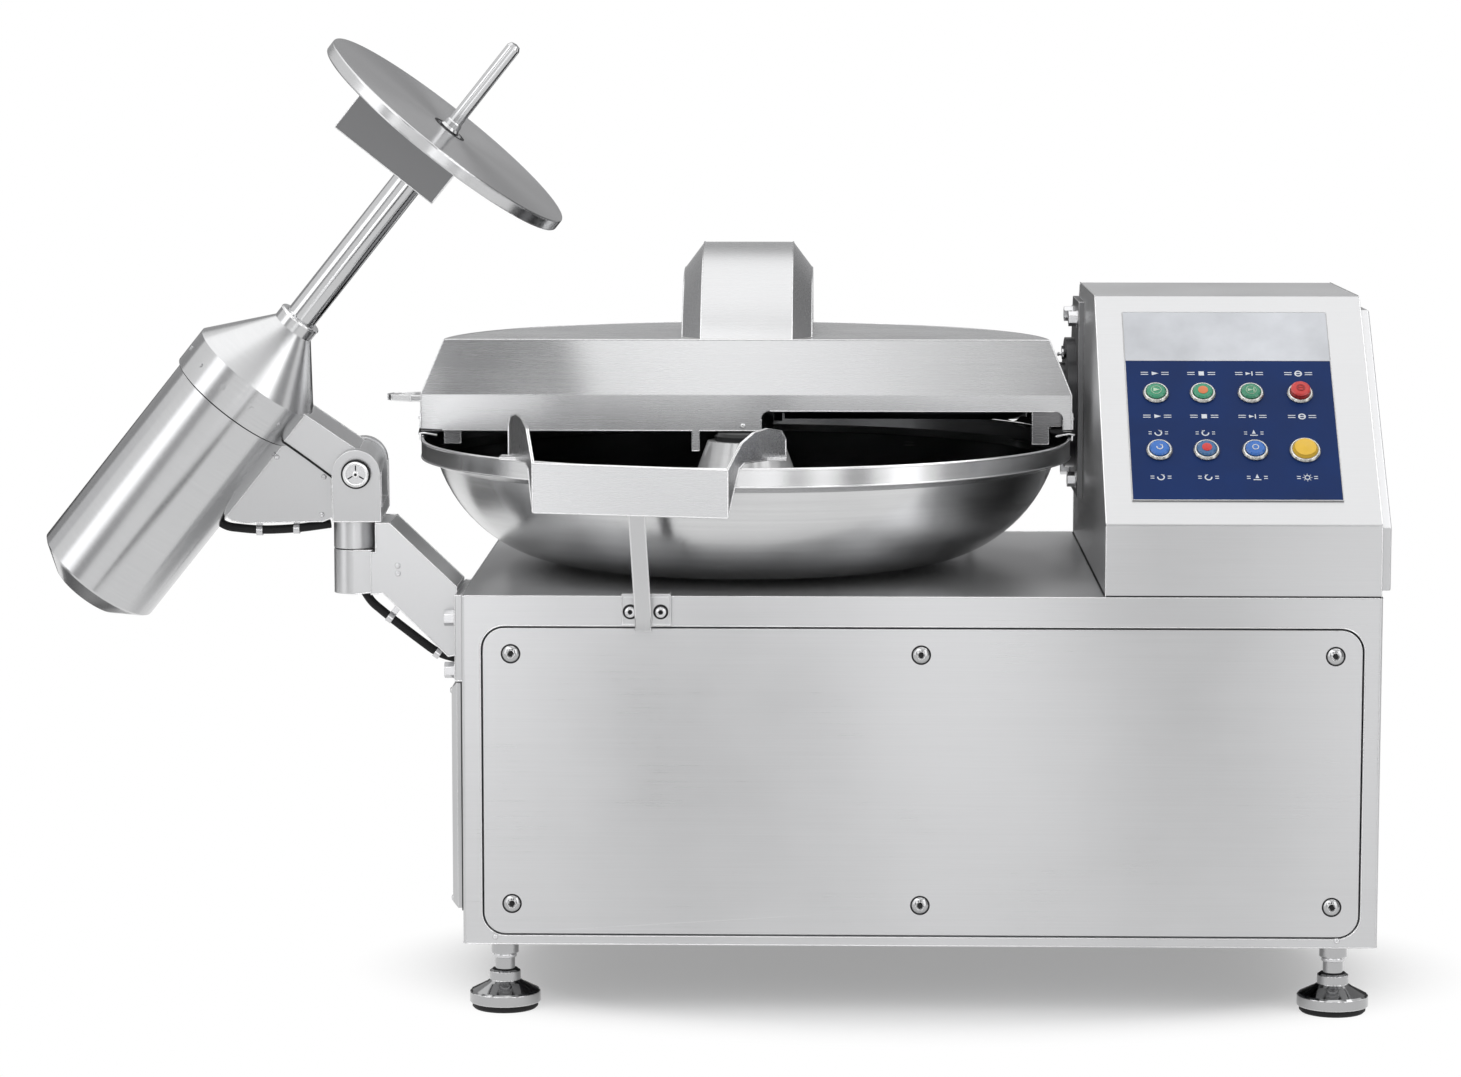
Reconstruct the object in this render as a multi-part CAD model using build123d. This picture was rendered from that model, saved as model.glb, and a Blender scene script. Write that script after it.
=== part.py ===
from build123d import *
from math import cos, hypot, radians, sin, sqrt, tan
import os

# A meat bowl cutter: a turning trough-shaped bowl on a cabinet, knives on a shaft out of a control tower,
# a half-round knife cover on a rear hinge, a chute, and a swinging arm with a motor-driven discharge disc.
# Millimetres. X runs along the front from left to right, Y to the rear, Z up with 0 on the floor.
# While it is built, X = 0 is the cabinet's middle and Y = 0 its front face; ROW_ORIGIN moves it at the end.

# ---- driving dimensions -------------------------------------------------------------------------------
CAB_W, CAB_D, CAB_H = 1450.0, 911.0, 558.0  # cabinet box
FOOT_H = 118.0                              # floor to cabinet underside
SHEET = 3.0                                 # sheet metal of cabinet and covers
BOWL_X, BOWL_Y = -285.0, 455.0              # axis the bowl turns on
BOWL_R = 542.0                              # rim radius
RIM_ABOVE_DECK = 211.0
BAND_H = 29.0                               # upright band under the rim
TROUGH_R, TROUGH_RING = 238.0, 288.0        # round trough section and the ring its centre runs on
BOWL_WALL = 4.0
KNIFE_R = 224.0
COVER_R = 545.0
COVER_GAP = 10.0                            # bowl rim to the cover's lower edge
COVER_WALL_H, COVER_BEVEL, COVER_H = 60.0, 35.0, 150.0
HOOD_R, HOOD_W = 278.0, 220.0               # knife hood, round about the knife shaft
TOWER_X0, TOWER_X1 = 290.0, 722.0
TOWER_H, TOWER_FOLD_H = 454.0, 115.0        # above the deck
TOWER_TOP_Y0, TOWER_TOP_Y1 = 348.0, 751.0
TOWER_BACK_Y, TOWER_BACK_Z = 885.0, 285.0   # above the deck
ARM_X, ARM_Y = -907.0, 150.0                # upright swivel axis
TILT_LEAN = 5.5                             # degrees by which the tilt pin leans out of level
TUBE_ANGLE = 51.18                          # discharge tube above level when parked
AXIS_OFFSET = 221.5                         # discharge axis to tilt pin
DISC_R, DISC_T = 228.0, 20.0
RUNNING = 0.05                              # radial clearance of shafts in bearings
ROW_ORIGIN = Vector(-335.0, 448.0, 0.0)     # middle of the machine's floor space

DECK = FOOT_H + CAB_H
HALF_W = CAB_W / 2
RIM = DECK + RIM_ABOVE_DECK
KNIFE_Y = BOWL_Y + 290.0
KNIFE_Z = DECK + 246.0
PIN = Vector(-898.3, ARM_Y, FOOT_H + 748.6)  # middle of the tilt pin


# ---- shorthand shapes ---------------------------------------------------------------------------------
def block(x0, x1, y0, y1, z0, z1):
    """A box between pairs of limits."""
    return Pos((x0 + x1) / 2, (y0 + y1) / 2, (z0 + z1) / 2) * Box(x1 - x0, y1 - y0, z1 - z0)


def rod_x(y, z, radius, x0, x1):
    return Pos((x0 + x1) / 2, y, z) * Rot(0, 90, 0) * Cylinder(radius, x1 - x0)


def rod_y(x, z, radius, y0, y1):
    return Pos(x, (y0 + y1) / 2, z) * Rot(90, 0, 0) * Cylinder(radius, y1 - y0)


def rod_z(x, y, radius, z0, z1):
    return Pos(x, y, (z0 + z1) / 2) * Cylinder(radius, z1 - z0)


def slab_x(points, x0, x1):
    """A flat outline of (y, z) points, thick from x0 to x1."""
    return extrude(Plane.YZ.offset(x0) * Polygon(*points, align=None), amount=x1 - x0, dir=(1, 0, 0))


def slab_y(points, y0, y1):
    """A flat outline of (x, z) points, thick from y0 to y1."""
    return extrude(Plane.XZ.offset(-y0) * Polygon(*points, align=None), amount=y1 - y0, dir=(0, 1, 0))


def slab_z(points, z0, z1):
    """A flat outline of (x, y) points, thick from z0 to z1."""
    return extrude(Plane.XY.offset(z0) * Polygon(*points, align=None), amount=z1 - z0, dir=(0, 0, 1))


def turned(points):
    """A solid of revolution about Z from an outline of (radius, z) points."""
    return revolve(Plane.XZ * Polygon(*points, align=None), Axis.Z)


def joined(shapes):
    """Separate solids kept side by side in one node."""
    return Compound(children=[solid for shape in shapes for solid in shape.solids()])


def fused(shapes):
    shapes = list(shapes)
    whole = shapes[0]
    for shape in shapes[1:]:
        whole = whole + shape
    return whole


def hex_bolt_head(radius, height):
    """Washer and hexagon head, standing on its origin along +Z."""
    washer = Pos(0, 0, 1.25) * Cylinder(radius * 1.18, 2.5)
    head = extrude(RegularPolygon(radius, 6), amount=height + 2.5)
    return washer + head


def socket_screw(radius, height):
    """Button head with a hexagon socket, standing on its origin along +Z."""
    dome_r = (radius ** 2 + height ** 2) / (2 * height)
    ball = Pos(0, 0, height - dome_r) * Sphere(dome_r)
    dome = ball & Pos(0, 0, height / 2) * Cylinder(radius * 1.1, height)
    socket = extrude(Plane.XY.offset(height * 0.35) * RegularPolygon(radius * 0.45, 6), amount=height)
    return dome - socket


# ---- cabinet ------------------------------------------------------------------------------------------
PANEL_X0, PANEL_X1 = -HALF_W + 34.0, HALF_W - 31.0
PANEL_Z0, PANEL_Z1 = FOOT_H + 17.0, FOOT_H + 507.0
PANEL_R, PANEL_GAP = 34.0, 4.0
SCREW_XS = (-647.0, 1.0, 652.0)
SCREW_ZS = (FOOT_H + 65.0, FOOT_H + 466.0)


def rounded_panel(grow, y0, y1):
    """The access panel's outline, grown on every side, thick from y0 to y1."""
    middle_x, middle_z = (PANEL_X0 + PANEL_X1) / 2, (PANEL_Z0 + PANEL_Z1) / 2
    outline = RectangleRounded(PANEL_X1 - PANEL_X0 + 2 * grow, PANEL_Z1 - PANEL_Z0 + 2 * grow, PANEL_R + grow)
    return extrude(Plane.XZ.offset(-y0) * Pos(middle_x, middle_z) * outline, amount=y1 - y0, dir=(0, 1, 0))


def cabinet_shell():
    shell = block(-HALF_W, HALF_W, 0, CAB_D, FOOT_H, DECK)
    shell = fillet(shell.edges().filter_by(Axis.Z), 5)
    shell = shell - block(-HALF_W + SHEET, HALF_W - SHEET, SHEET, CAB_D - SHEET, FOOT_H - 1, DECK - SHEET)
    shell = shell - rounded_panel(PANEL_GAP, -1, SHEET + 1)
    shell = shell - rounded_panel(PANEL_GAP, CAB_D - SHEET - 1, CAB_D + 1)
    shell = shell - rod_z(BOWL_X, BOWL_Y, 80, DECK - 10, DECK + 1)
    return shell - block(TOWER_X0 + 40, TOWER_X1 - 40, 330, 850, DECK - 10, DECK + 1)


def base_frame():
    """Welded square tube: two rings, six uprights, cross rails and the two motor beds."""
    tube = 40.0
    x0, x1 = -HALF_W + SHEET, HALF_W - SHEET
    y0, y1 = 26.0, CAB_D - 26.0
    low, high = FOOT_H, DECK - SHEET - tube
    rails = []
    for z in (low, high):
        rails += [block(x0, x1, y, y + tube, z, z + tube) for y in (y0, y1 - tube)]
        rails += [block(x, x + tube, y0, y1, z, z + tube) for x in (x0, -tube / 2 + 60, x1 - tube)]
    for x in (x0, -tube / 2 + 60, x1 - tube):
        rails += [block(x, x + tube, y, y + tube, low, DECK - SHEET) for y in (y0, y1 - tube)]
    motor_bed = block(120, 480, y0, y1, FOOT_H + tube, FOOT_H + tube + 12)
    gear_bed = [block(BOWL_X + dx, BOWL_X + dx + tube, y0, y1, high, high + tube) for dx in (-150, 110)]
    return fused(rails + [motor_bed] + gear_bed)


def access_panel(front):
    """A panel with folded edges; the front one has its face at y = 0, the rear one at y = CAB_D."""
    y0, y1 = (0, SHEET) if front else (CAB_D - SHEET, CAB_D)
    depth0, depth1 = (0, 18) if front else (CAB_D - 18, CAB_D)
    hollow0, hollow1 = (SHEET, 19) if front else (CAB_D - 19, CAB_D - SHEET)
    tray = rounded_panel(0, depth0, depth1) - rounded_panel(-2, hollow0, hollow1)
    shanks = [rod_y(x, z, 5.2, y0 - 1, y1 + 1) for x in SCREW_XS for z in SCREW_ZS]
    return tray - shanks


def panel_screws():
    """Button-head screws with shanks that reach the frame, front and rear."""
    screws = []
    for x in SCREW_XS:
        for z in SCREW_ZS:
            for face, side in ((0.0, 1), (CAB_D, -1)):
                head = Pos(x, face, z) * Rot(90 * side, 0, 0) * socket_screw(14, 7)
                shank = rod_y(x, z, 5, min(face, face + side * 24), max(face, face + side * 24))
                screws.append(head + shank)
    return joined(screws)


def left_side_cover():
    """A shallow vented box on the left side, chamfered all round."""
    y0, y1 = 60.0, 640.0
    x0 = -HALF_W - 22.0
    box = block(x0, -HALF_W, y0, y1, FOOT_H + 45, FOOT_H + 410)
    box = chamfer(box.faces().sort_by(Axis.X)[0].edges(), 9)
    hollow = block(x0 + SHEET, -HALF_W + 1, y0 + SHEET, y1 - SHEET, FOOT_H + 45 + SHEET, FOOT_H + 410 - SHEET)
    hollow = chamfer(hollow.faces().sort_by(Axis.X)[0].edges(), 8)
    slots = [block(x0 - 1, x0 + 8, y0 + 60, y1 - 60, z, z + 8) for z in range(210, 460, 28)]
    return box - hollow - slots


def right_side_cover():
    cover = block(HALF_W, HALF_W + 3, 45, CAB_D - 45, FOOT_H + 40, FOOT_H + 548)
    return cover - [rod_x(y, z, 5, HALF_W - 1, HALF_W + 4) for y in (75, CAB_D - 75) for z in (190, 640)]


FOOT_X, FOOT_Y = HALF_W - 61.0, 70.0
FOOT_SPOTS = [(x, y) for x in (-FOOT_X, FOOT_X) for y in (FOOT_Y, CAB_D - FOOT_Y)]


def levelling_feet():
    plate = Pos(0, 0, FOOT_H - 3) * Box(100, 96, 6)
    base = [(0, 8), (53, 8), (57, 11), (57, 27), (54, 30), (30, 42), (25, 46)]
    nut_and_stem = [(25, 60), (20, 63), (16, 63), (16, 90), (22, 90), (22, FOOT_H - 6), (0, FOOT_H - 6)]
    foot = plate + turned(base + nut_and_stem)
    return joined([Pos(x, y, 0) * foot for x, y in FOOT_SPOTS])


def foot_pads():
    pad = turned([(0, 0), (50, 0), (53, 3), (53, 8), (0, 8)])
    return joined([Pos(x, y, 0) * pad for x, y in FOOT_SPOTS])


# ---- control tower ------------------------------------------------------------------------------------
PANEL_FACE = Plane(origin=(0, 2, DECK + TOWER_FOLD_H), x_dir=(1, 0, 0),
                   z_dir=(0, TOWER_FOLD_H - TOWER_H, TOWER_TOP_Y0 - 2))
OVERLAY_X0, OVERLAY_X1 = 334.0, 664.0
OVERLAY_U0, OVERLAY_U1 = 50.0, 446.0        # up the slope
WINDOW_U0 = 341.0
BUTTON_XS = (380.0, 455.0, 532.0, 611.0)
BUTTON_US = (271.0, 151.0)
BUTTON_R, LAMP_R = 16.0, 23.0


def tower_profile(inset):
    """Side outline of the tower as (y, z), drawn in by an even inset."""
    i = inset
    front = [(2 + i, DECK + i), (2 + i, DECK + TOWER_FOLD_H - 0.4 * i)]
    top = [(TOWER_TOP_Y0 + 0.4 * i, DECK + TOWER_H - i), (TOWER_TOP_Y1 - 0.6 * i, DECK + TOWER_H - i)]
    back = [(TOWER_BACK_Y - i, DECK + TOWER_BACK_Z - 0.5 * i), (TOWER_BACK_Y - i, DECK + i)]
    return front + top + back


def button_holes(radius):
    return [PANEL_FACE * Pos(x, u, 0) * Cylinder(radius, 30) for x in BUTTON_XS for u in BUTTON_US]


def tower_shell():
    outer = slab_x(tower_profile(0), TOWER_X0, TOWER_X1)
    outer = fillet(outer.edges().filter_by(Axis.X).sort_by(Axis.Z)[2:], 6)
    inner = slab_x(tower_profile(SHEET), TOWER_X0 + SHEET, TOWER_X1 - SHEET)
    floor_cut = block(TOWER_X0 + 40, TOWER_X1 - 40, 330, 850, DECK - 1, DECK + 5)
    shaft_hole = rod_x(KNIFE_Y, KNIFE_Z, 62, TOWER_X0 - 1, TOWER_X0 + 5)
    return outer - inner - floor_cut - shaft_hole - button_holes(BUTTON_R + 0.3)


def tower_door():
    """Service cover over the tower's right side, standing proud of it."""
    margin, depth = 11, 16
    top = DECK + TOWER_H - 2 * margin
    below_top = block(TOWER_X1 - 1, TOWER_X1 + depth + 1, 0, CAB_D, DECK, top)
    door = slab_x(tower_profile(margin), TOWER_X1, TOWER_X1 + depth) & below_top
    door = fillet(door.faces().sort_by(Axis.X)[-1].edges(), 3)
    hollow = slab_x(tower_profile(margin + SHEET), TOWER_X1 - 1, TOWER_X1 + depth - SHEET)
    return door - (hollow & Pos(0, 0, -SHEET) * below_top)


def control_plate():
    """Blue lower field of the control face, with a hole for each bezel."""
    plate = PANEL_FACE * Pos((OVERLAY_X0 + OVERLAY_X1) / 2, (OVERLAY_U0 + WINDOW_U0) / 2, 1) * Box(
        OVERLAY_X1 - OVERLAY_X0, WINDOW_U0 - OVERLAY_U0, 2)
    return plate - button_holes(BUTTON_R + 1)


def display_window():
    return PANEL_FACE * Pos((OVERLAY_X0 + OVERLAY_X1) / 2, (WINDOW_U0 + OVERLAY_U1) / 2, 1.25) * Box(
        OVERLAY_X1 - OVERLAY_X0, OVERLAY_U1 - WINDOW_U0, 2.5)


def bezel_ring(radius):
    ring = turned([(BUTTON_R - 2.5, -14), (BUTTON_R, -14), (BUTTON_R, 2), (radius + 5, 2), (radius + 5, 5),
                   (radius + 2.5, 8), (radius + 0.6, 8), (radius + 0.6, 2.6), (BUTTON_R - 2.5, 2.6)])
    return ring


def button_bezels():
    rings = [PANEL_FACE * Pos(x, u, 0) * bezel_ring(BUTTON_R) for x in BUTTON_XS for u in BUTTON_US]
    return joined(rings[:-1] + [PANEL_FACE * Pos(BUTTON_XS[3], BUTTON_US[1], 0) * bezel_ring(LAMP_R - 3)])


def push_button(x, u, rise):
    """A domed cap on a stem that slides in its bezel."""
    cap_r = BUTTON_R - 0.4
    stem_r = BUTTON_R - 3.0
    cap = turned([(0, 5), (stem_r, 5), (cap_r, 5), (cap_r, rise - 2), (cap_r - 3, rise), (0, rise + 1)])
    stem = turned([(0, -18), (stem_r, -18), (stem_r, 5), (0, 5)])
    return PANEL_FACE * Pos(x, u, 0) * (cap + stem)


def power_lamp():
    lens = turned([(0, 2.8), (LAMP_R - 3, 2.8), (LAMP_R - 3, 8), (LAMP_R - 6, 13), (0, 15)])
    return PANEL_FACE * Pos(BUTTON_XS[3], BUTTON_US[1], 0) * lens


# ---- knife drive --------------------------------------------------------------------------------------
SHAFT_R = 20.0
HOUSING_R = 30.0
HOUSING_X0 = BOWL_X + 62.0
PLATE_T = 10.0
FLANGE_R = 113.0
KNIFE_PULLEY_R, MOTOR_PULLEY_R = 70.0, 100.0
PULLEY_X0, PULLEY_X1 = 540.0, 600.0
MOTOR_Y, MOTOR_Z = 520.0, FOOT_H + 210.0
MOTOR_R = 120.0
BELT_T, BELT_GAP = 9.0, 0.4
PLATE_BOLTS = [(640, DECK + 122), (850, DECK + 122), (640, DECK + 398), (780, DECK + 398)]


def bearing_plate():
    outline = [(620, DECK + 92), (870, DECK + 92), (870, DECK + 285), (800, DECK + 428), (620, DECK + 428)]
    plate = slab_x(outline, TOWER_X0 - PLATE_T, TOWER_X0)
    return plate - rod_x(KNIFE_Y, KNIFE_Z, 62, TOWER_X0 - PLATE_T - 1, TOWER_X0 + 1)


def knife_housing():
    """Long quill that carries the knife shaft from the tower in over the bowl's rim."""
    face = TOWER_X0 - PLATE_T
    quill = rod_x(KNIFE_Y, KNIFE_Z, HOUSING_R, HOUSING_X0, face)
    flange = rod_x(KNIFE_Y, KNIFE_Z, FLANGE_R, face - 16, face)
    step = rod_x(KNIFE_Y, KNIFE_Z, 70, face - 30, face - 16)
    root = rod_x(KNIFE_Y, KNIFE_Z, 61, face, TOWER_X0 + 230)
    bore = rod_x(KNIFE_Y, KNIFE_Z, SHAFT_R + 6, HOUSING_X0 - 1, TOWER_X0 + 231)
    screws = []
    for k in range(8):
        a = radians(45 * k + 22.5)
        screws.append(rod_x(KNIFE_Y + 95 * cos(a), KNIFE_Z + 95 * sin(a), 8, face - 20, face - 16))
    return (fused([quill, flange, step, root]) - bore) + screws


def shaft_bearings():
    """Bearing rings: two on the knife shaft, two on the bowl's spindle."""
    rings = []
    for x in (HOUSING_X0 + 6, TOWER_X0 + 195):
        ring = rod_x(KNIFE_Y, KNIFE_Z, SHAFT_R + 6, x, x + 28)
        rings.append(ring - rod_x(KNIFE_Y, KNIFE_Z, SHAFT_R + RUNNING, x - 1, x + 29))
    for z in (DECK - 60, DECK + 120):
        ring = rod_z(BOWL_X, BOWL_Y, 40, z, z + 24)
        rings.append(ring - rod_z(BOWL_X, BOWL_Y, SPINDLE_R + RUNNING, z - 1, z + 25))
    return joined(rings)


def knife_shaft():
    shaft = rod_x(KNIFE_Y, KNIFE_Z, SHAFT_R, BOWL_X - 75, PULLEY_X1 + 20)
    collar = rod_x(KNIFE_Y, KNIFE_Z, 34, BOWL_X + 44, BOWL_X + 58)
    nut = Pos(BOWL_X - 75, KNIFE_Y, KNIFE_Z) * Rot(0, 90, 0) * extrude(RegularPolygon(36, 6), amount=24)
    return shaft + collar + nut


def knife_blade():
    """A sickle-shaped blade in the (y, z) plane about the shaft, 5 mm thick."""
    tip = (KNIFE_R * sin(radians(38)), KNIFE_R * cos(radians(38)))
    edge = ThreePointArc((42, 10), (KNIFE_R * 0.62, KNIFE_R * 0.42), tip)
    back = ThreePointArc(tip, (KNIFE_R * 0.10, KNIFE_R * 0.76), (-36, 24))
    root = Line((-36, 24), (42, 10))
    return extrude(make_face([edge, back, root]), amount=5)


def knife_set():
    """Six blades in three pairs between spacer rings, bored for the shaft."""
    hub_x0, pitch = BOWL_X - 50.0, 15.0
    hub = rod_x(KNIFE_Y, KNIFE_Z, 48, hub_x0, BOWL_X + 43)
    blade = knife_blade()
    for k in range(6):
        turn = 180 * (k % 2) + 60 * (k // 2)
        seat = Pos(hub_x0 + 6 + pitch * k, KNIFE_Y, KNIFE_Z) * Rot(turn, 0, 0) * Rot(0, 90, 0) * Rot(0, 0, 90)
        hub = hub + seat * blade
    return hub - rod_x(KNIFE_Y, KNIFE_Z, SHAFT_R, hub_x0 - 1, BOWL_X + 44)


def grooved_pulley(y, z, radius, bore):
    wheel = rod_x(y, z, radius - 8, PULLEY_X0, PULLEY_X1)
    for x in (PULLEY_X0, PULLEY_X0 + 28, PULLEY_X0 + 56):
        wheel = wheel + rod_x(y, z, radius + 4, x, x + 4)
    return wheel - rod_x(y, z, bore, PULLEY_X0 - 1, PULLEY_X1 + 1)


def knife_belts():
    """Two flat-backed belts side by side, each between a pair of pulley cheeks."""
    def loop(extra):
        circles = [Pos(KNIFE_Y, KNIFE_Z) * Circle(KNIFE_PULLEY_R - 8 + extra),
                   Pos(MOTOR_Y, MOTOR_Z) * Circle(MOTOR_PULLEY_R - 8 + extra)]
        return make_hull([edge for circle in circles for edge in circle.edges()])
    outline = loop(BELT_GAP + BELT_T) - loop(BELT_GAP)
    return joined([extrude(Plane.YZ.offset(PULLEY_X0 + dx) * outline, amount=22) for dx in (5, 33)])


def knife_motor():
    """Foot-mounted motor on its bed, with ribs, fan cowl and terminal box."""
    bed = FOOT_H + 52
    body = rod_x(MOTOR_Y, MOTOR_Z, MOTOR_R - 10, 130, 480)
    for k in range(24):
        body = body + Pos(0, MOTOR_Y, MOTOR_Z) * Rot(15 * k, 0, 0) * block(160, 440, -2, 2, 0, MOTOR_R)
    body = body + rod_x(MOTOR_Y, MOTOR_Z, MOTOR_R + 4, 95, 160)
    body = body + rod_x(MOTOR_Y, MOTOR_Z, MOTOR_R + 4, 440, 490)
    for x in (170, 400):
        body = body + block(x, x + 40, MOTOR_Y - 110, MOTOR_Y + 110, bed, bed + 52)
    body = body + block(240, 360, MOTOR_Y - 55, MOTOR_Y + 55, MOTOR_Z + 100, MOTOR_Z + 150)
    return body - rod_x(MOTOR_Y, MOTOR_Z, 19 + RUNNING, 300, 500)


def motor_pulley():
    shaft = rod_x(MOTOR_Y, MOTOR_Z, 19, 310, PULLEY_X1 + 5)
    return grooved_pulley(MOTOR_Y, MOTOR_Z, MOTOR_PULLEY_R, 19) + shaft


# ---- bowl and its drive -------------------------------------------------------------------------------
SPINDLE_R = 25.0
WHEEL_R, WORM_R = 95.0, 28.0
GEAR_Z = FOOT_H + 380.0
HUB_TOP = RIM - 6.0


def bowl():
    """Turned trough with an upright rim band and a hollow hub cone."""
    ring, centre_z = TROUGH_RING, RIM + 35.0
    outer_r, inner_r = TROUGH_R, TROUGH_R - BOWL_WALL
    rim_in = BOWL_R - BOWL_WALL

    def on_arc(radius, at):
        return centre_z - sqrt(radius ** 2 - (at - ring) ** 2)

    def pt(r, z):
        return (r, 0, z)

    shoulder_r, cone_r = 513.5, 96.0
    lines = [
        ThreePointArc(pt(rim_in, RIM - 2), pt(BOWL_R - BOWL_WALL / 2, RIM), pt(BOWL_R, RIM - 2)),
        Line(pt(BOWL_R, RIM - 2), pt(BOWL_R, RIM - BAND_H)),
        Line(pt(BOWL_R, RIM - BAND_H), pt(shoulder_r, on_arc(outer_r, shoulder_r))),
        ThreePointArc(pt(shoulder_r, on_arc(outer_r, shoulder_r)), pt(ring, centre_z - outer_r),
                      pt(cone_r, on_arc(outer_r, cone_r))),
        Line(pt(cone_r, on_arc(outer_r, cone_r)), pt(66, HUB_TOP - 15)),
        Line(pt(66, HUB_TOP - 15), pt(SPINDLE_R, HUB_TOP - 15)),
        Line(pt(SPINDLE_R, HUB_TOP - 15), pt(SPINDLE_R, HUB_TOP)),
        Line(pt(SPINDLE_R, HUB_TOP), pt(64, HUB_TOP)),
        Line(pt(64, HUB_TOP), pt(cone_r + 4, on_arc(inner_r, cone_r + 4))),
        ThreePointArc(pt(cone_r + 4, on_arc(inner_r, cone_r + 4)), pt(ring, centre_z - inner_r),
                      pt(shoulder_r - 3, on_arc(inner_r, shoulder_r - 3))),
        Line(pt(shoulder_r - 3, on_arc(inner_r, shoulder_r - 3)), pt(rim_in, RIM - BAND_H + 3)),
        Line(pt(rim_in, RIM - BAND_H + 3), pt(rim_in, RIM - 2)),
    ]
    return Pos(BOWL_X, BOWL_Y, 0) * revolve(make_face(lines), Axis.Z)


def bowl_spindle():
    low, flange = GEAR_Z - 60, HUB_TOP - 15
    spindle = turned([(0, low), (SPINDLE_R, low), (SPINDLE_R, flange - 14), (60, flange - 14), (60, flange),
                      (SPINDLE_R, flange), (SPINDLE_R, HUB_TOP + 8), (0, HUB_TOP + 8)])
    return Pos(BOWL_X, BOWL_Y, 0) * spindle


def hub_cap():
    radius, under, top = 52.0, HUB_TOP + 8, HUB_TOP + 13
    outer = [(SPINDLE_R, HUB_TOP), (radius, HUB_TOP), (radius, under), (radius - 6, top), (0, top)]
    return Pos(BOWL_X, BOWL_Y, 0) * turned(outer + [(0, under), (SPINDLE_R, under)])


def spindle_housing():
    """Flanged column on the deck that holds the spindle's bearings."""
    top = DECK + 150
    column = turned([(40, DECK - 70), (52, DECK - 70), (52, DECK - 3), (72, DECK - 3), (72, DECK), (90, DECK),
                     (90, DECK + 12), (54, DECK + 16), (50, top), (40, top)])
    return Pos(BOWL_X, BOWL_Y, 0) * column


def worm_wheel():
    wheel = turned([(SPINDLE_R, GEAR_Z - 22), (45, GEAR_Z - 22), (45, GEAR_Z - 12), (WHEEL_R, GEAR_Z - 12),
                    (WHEEL_R, GEAR_Z + 12), (45, GEAR_Z + 12), (45, GEAR_Z + 22), (SPINDLE_R, GEAR_Z + 22)])
    return Pos(BOWL_X, BOWL_Y, 0) * wheel


WORM_Y = BOWL_Y + WHEEL_R + WORM_R + 0.5


def worm_shaft():
    """Worm beside its wheel, coupled to the bowl motor."""
    worm = rod_x(WORM_Y, GEAR_Z, WORM_R - 6, BOWL_X - 60, BOWL_X + 60)
    for k in range(7):
        worm = worm + rod_x(WORM_Y, GEAR_Z, WORM_R, BOWL_X - 52 + 15 * k, BOWL_X - 44 + 15 * k)
    return worm + rod_x(WORM_Y, GEAR_Z, 14, BOWL_X - 120, BOWL_X + 200)


def gearbox_case():
    """Open-topped casing round wheel and worm, hung under the deck."""
    x0, x1 = BOWL_X - 135, BOWL_X + 135
    y0, y1 = BOWL_Y - 125, WORM_Y + 55
    z0, z1 = GEAR_Z - 75, DECK - 70
    case = block(x0, x1, y0, y1, z0, z1) - block(x0 + 12, x1 - 12, y0 + 12, y1 - 12, z0 + 12, z1 - 12)
    case = case - rod_z(BOWL_X, BOWL_Y, SPINDLE_R + 1, z1 - 13, z1 + 1)
    return case - rod_x(WORM_Y, GEAR_Z, 14 + RUNNING, x0 + 11, x1 + 1)


def bowl_motor():
    x0, x1 = BOWL_X + 135, BOWL_X + 345
    body = rod_x(WORM_Y, GEAR_Z, 62, x0, x1) + rod_x(WORM_Y, GEAR_Z, 72, x0, x0 + 14)
    body = body + rod_x(WORM_Y, GEAR_Z, 66, x1 - 50, x1)
    body = body + block(x0 + 70, x0 + 130, WORM_Y - 30, WORM_Y + 30, GEAR_Z + 50, GEAR_Z + 86)
    return body - rod_x(WORM_Y, GEAR_Z, 14 + RUNNING, x0 - 1, BOWL_X + 201)


# ---- knife cover --------------------------------------------------------------------------------------
COVER_Z0 = RIM + COVER_GAP
HINGE_Y, HINGE_Z = 1005.0, DECK + 242.0
HINGE_PIN_R = 10.0
HINGE_X0, HINGE_X1 = 20.0, 130.0            # outer faces of the lid's two hinge straps
NOTCH_X0, NOTCH_X1 = BOWL_X + 26.0, BOWL_X + 531.0
NOTCH_H = 33.0


def cover_body(inset):
    """Half-round lid: upright wall, bevel and flat top, drawn in by an inset everywhere but below."""
    wall_top, top = COVER_Z0 + COVER_WALL_H, COVER_Z0 + COVER_H - inset
    shrink = COVER_BEVEL * (top - wall_top) / (COVER_H - COVER_WALL_H)
    radius = COVER_R - inset
    low = COVER_Z0 - (1 if inset else 0)
    lid = turned([(0, low), (radius, low), (radius, wall_top), (radius - shrink, top), (0, top)])
    front = BOWL_Y + inset
    profile = [(front, low), (front, wall_top), (front + shrink, top), (front + 700, top), (front + 700, low)]
    return Pos(BOWL_X, BOWL_Y, 0) * lid & slab_x(profile, BOWL_X - 600, BOWL_X + 600)


def hood_body(inset):
    """Drum about the knife shaft with bevelled shoulders."""
    half, radius = HOOD_W / 2 - inset, HOOD_R - inset
    bevel_x, bevel_r = 33.0, 44.0
    outline = [(0, -half), (radius - bevel_r, -half), (radius, -half + bevel_x), (radius, half - bevel_x),
               (radius - bevel_r, half), (0, half)]
    return Pos(BOWL_X, KNIFE_Y, KNIFE_Z) * Rot(0, 90, 0) * turned(outline)


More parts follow.
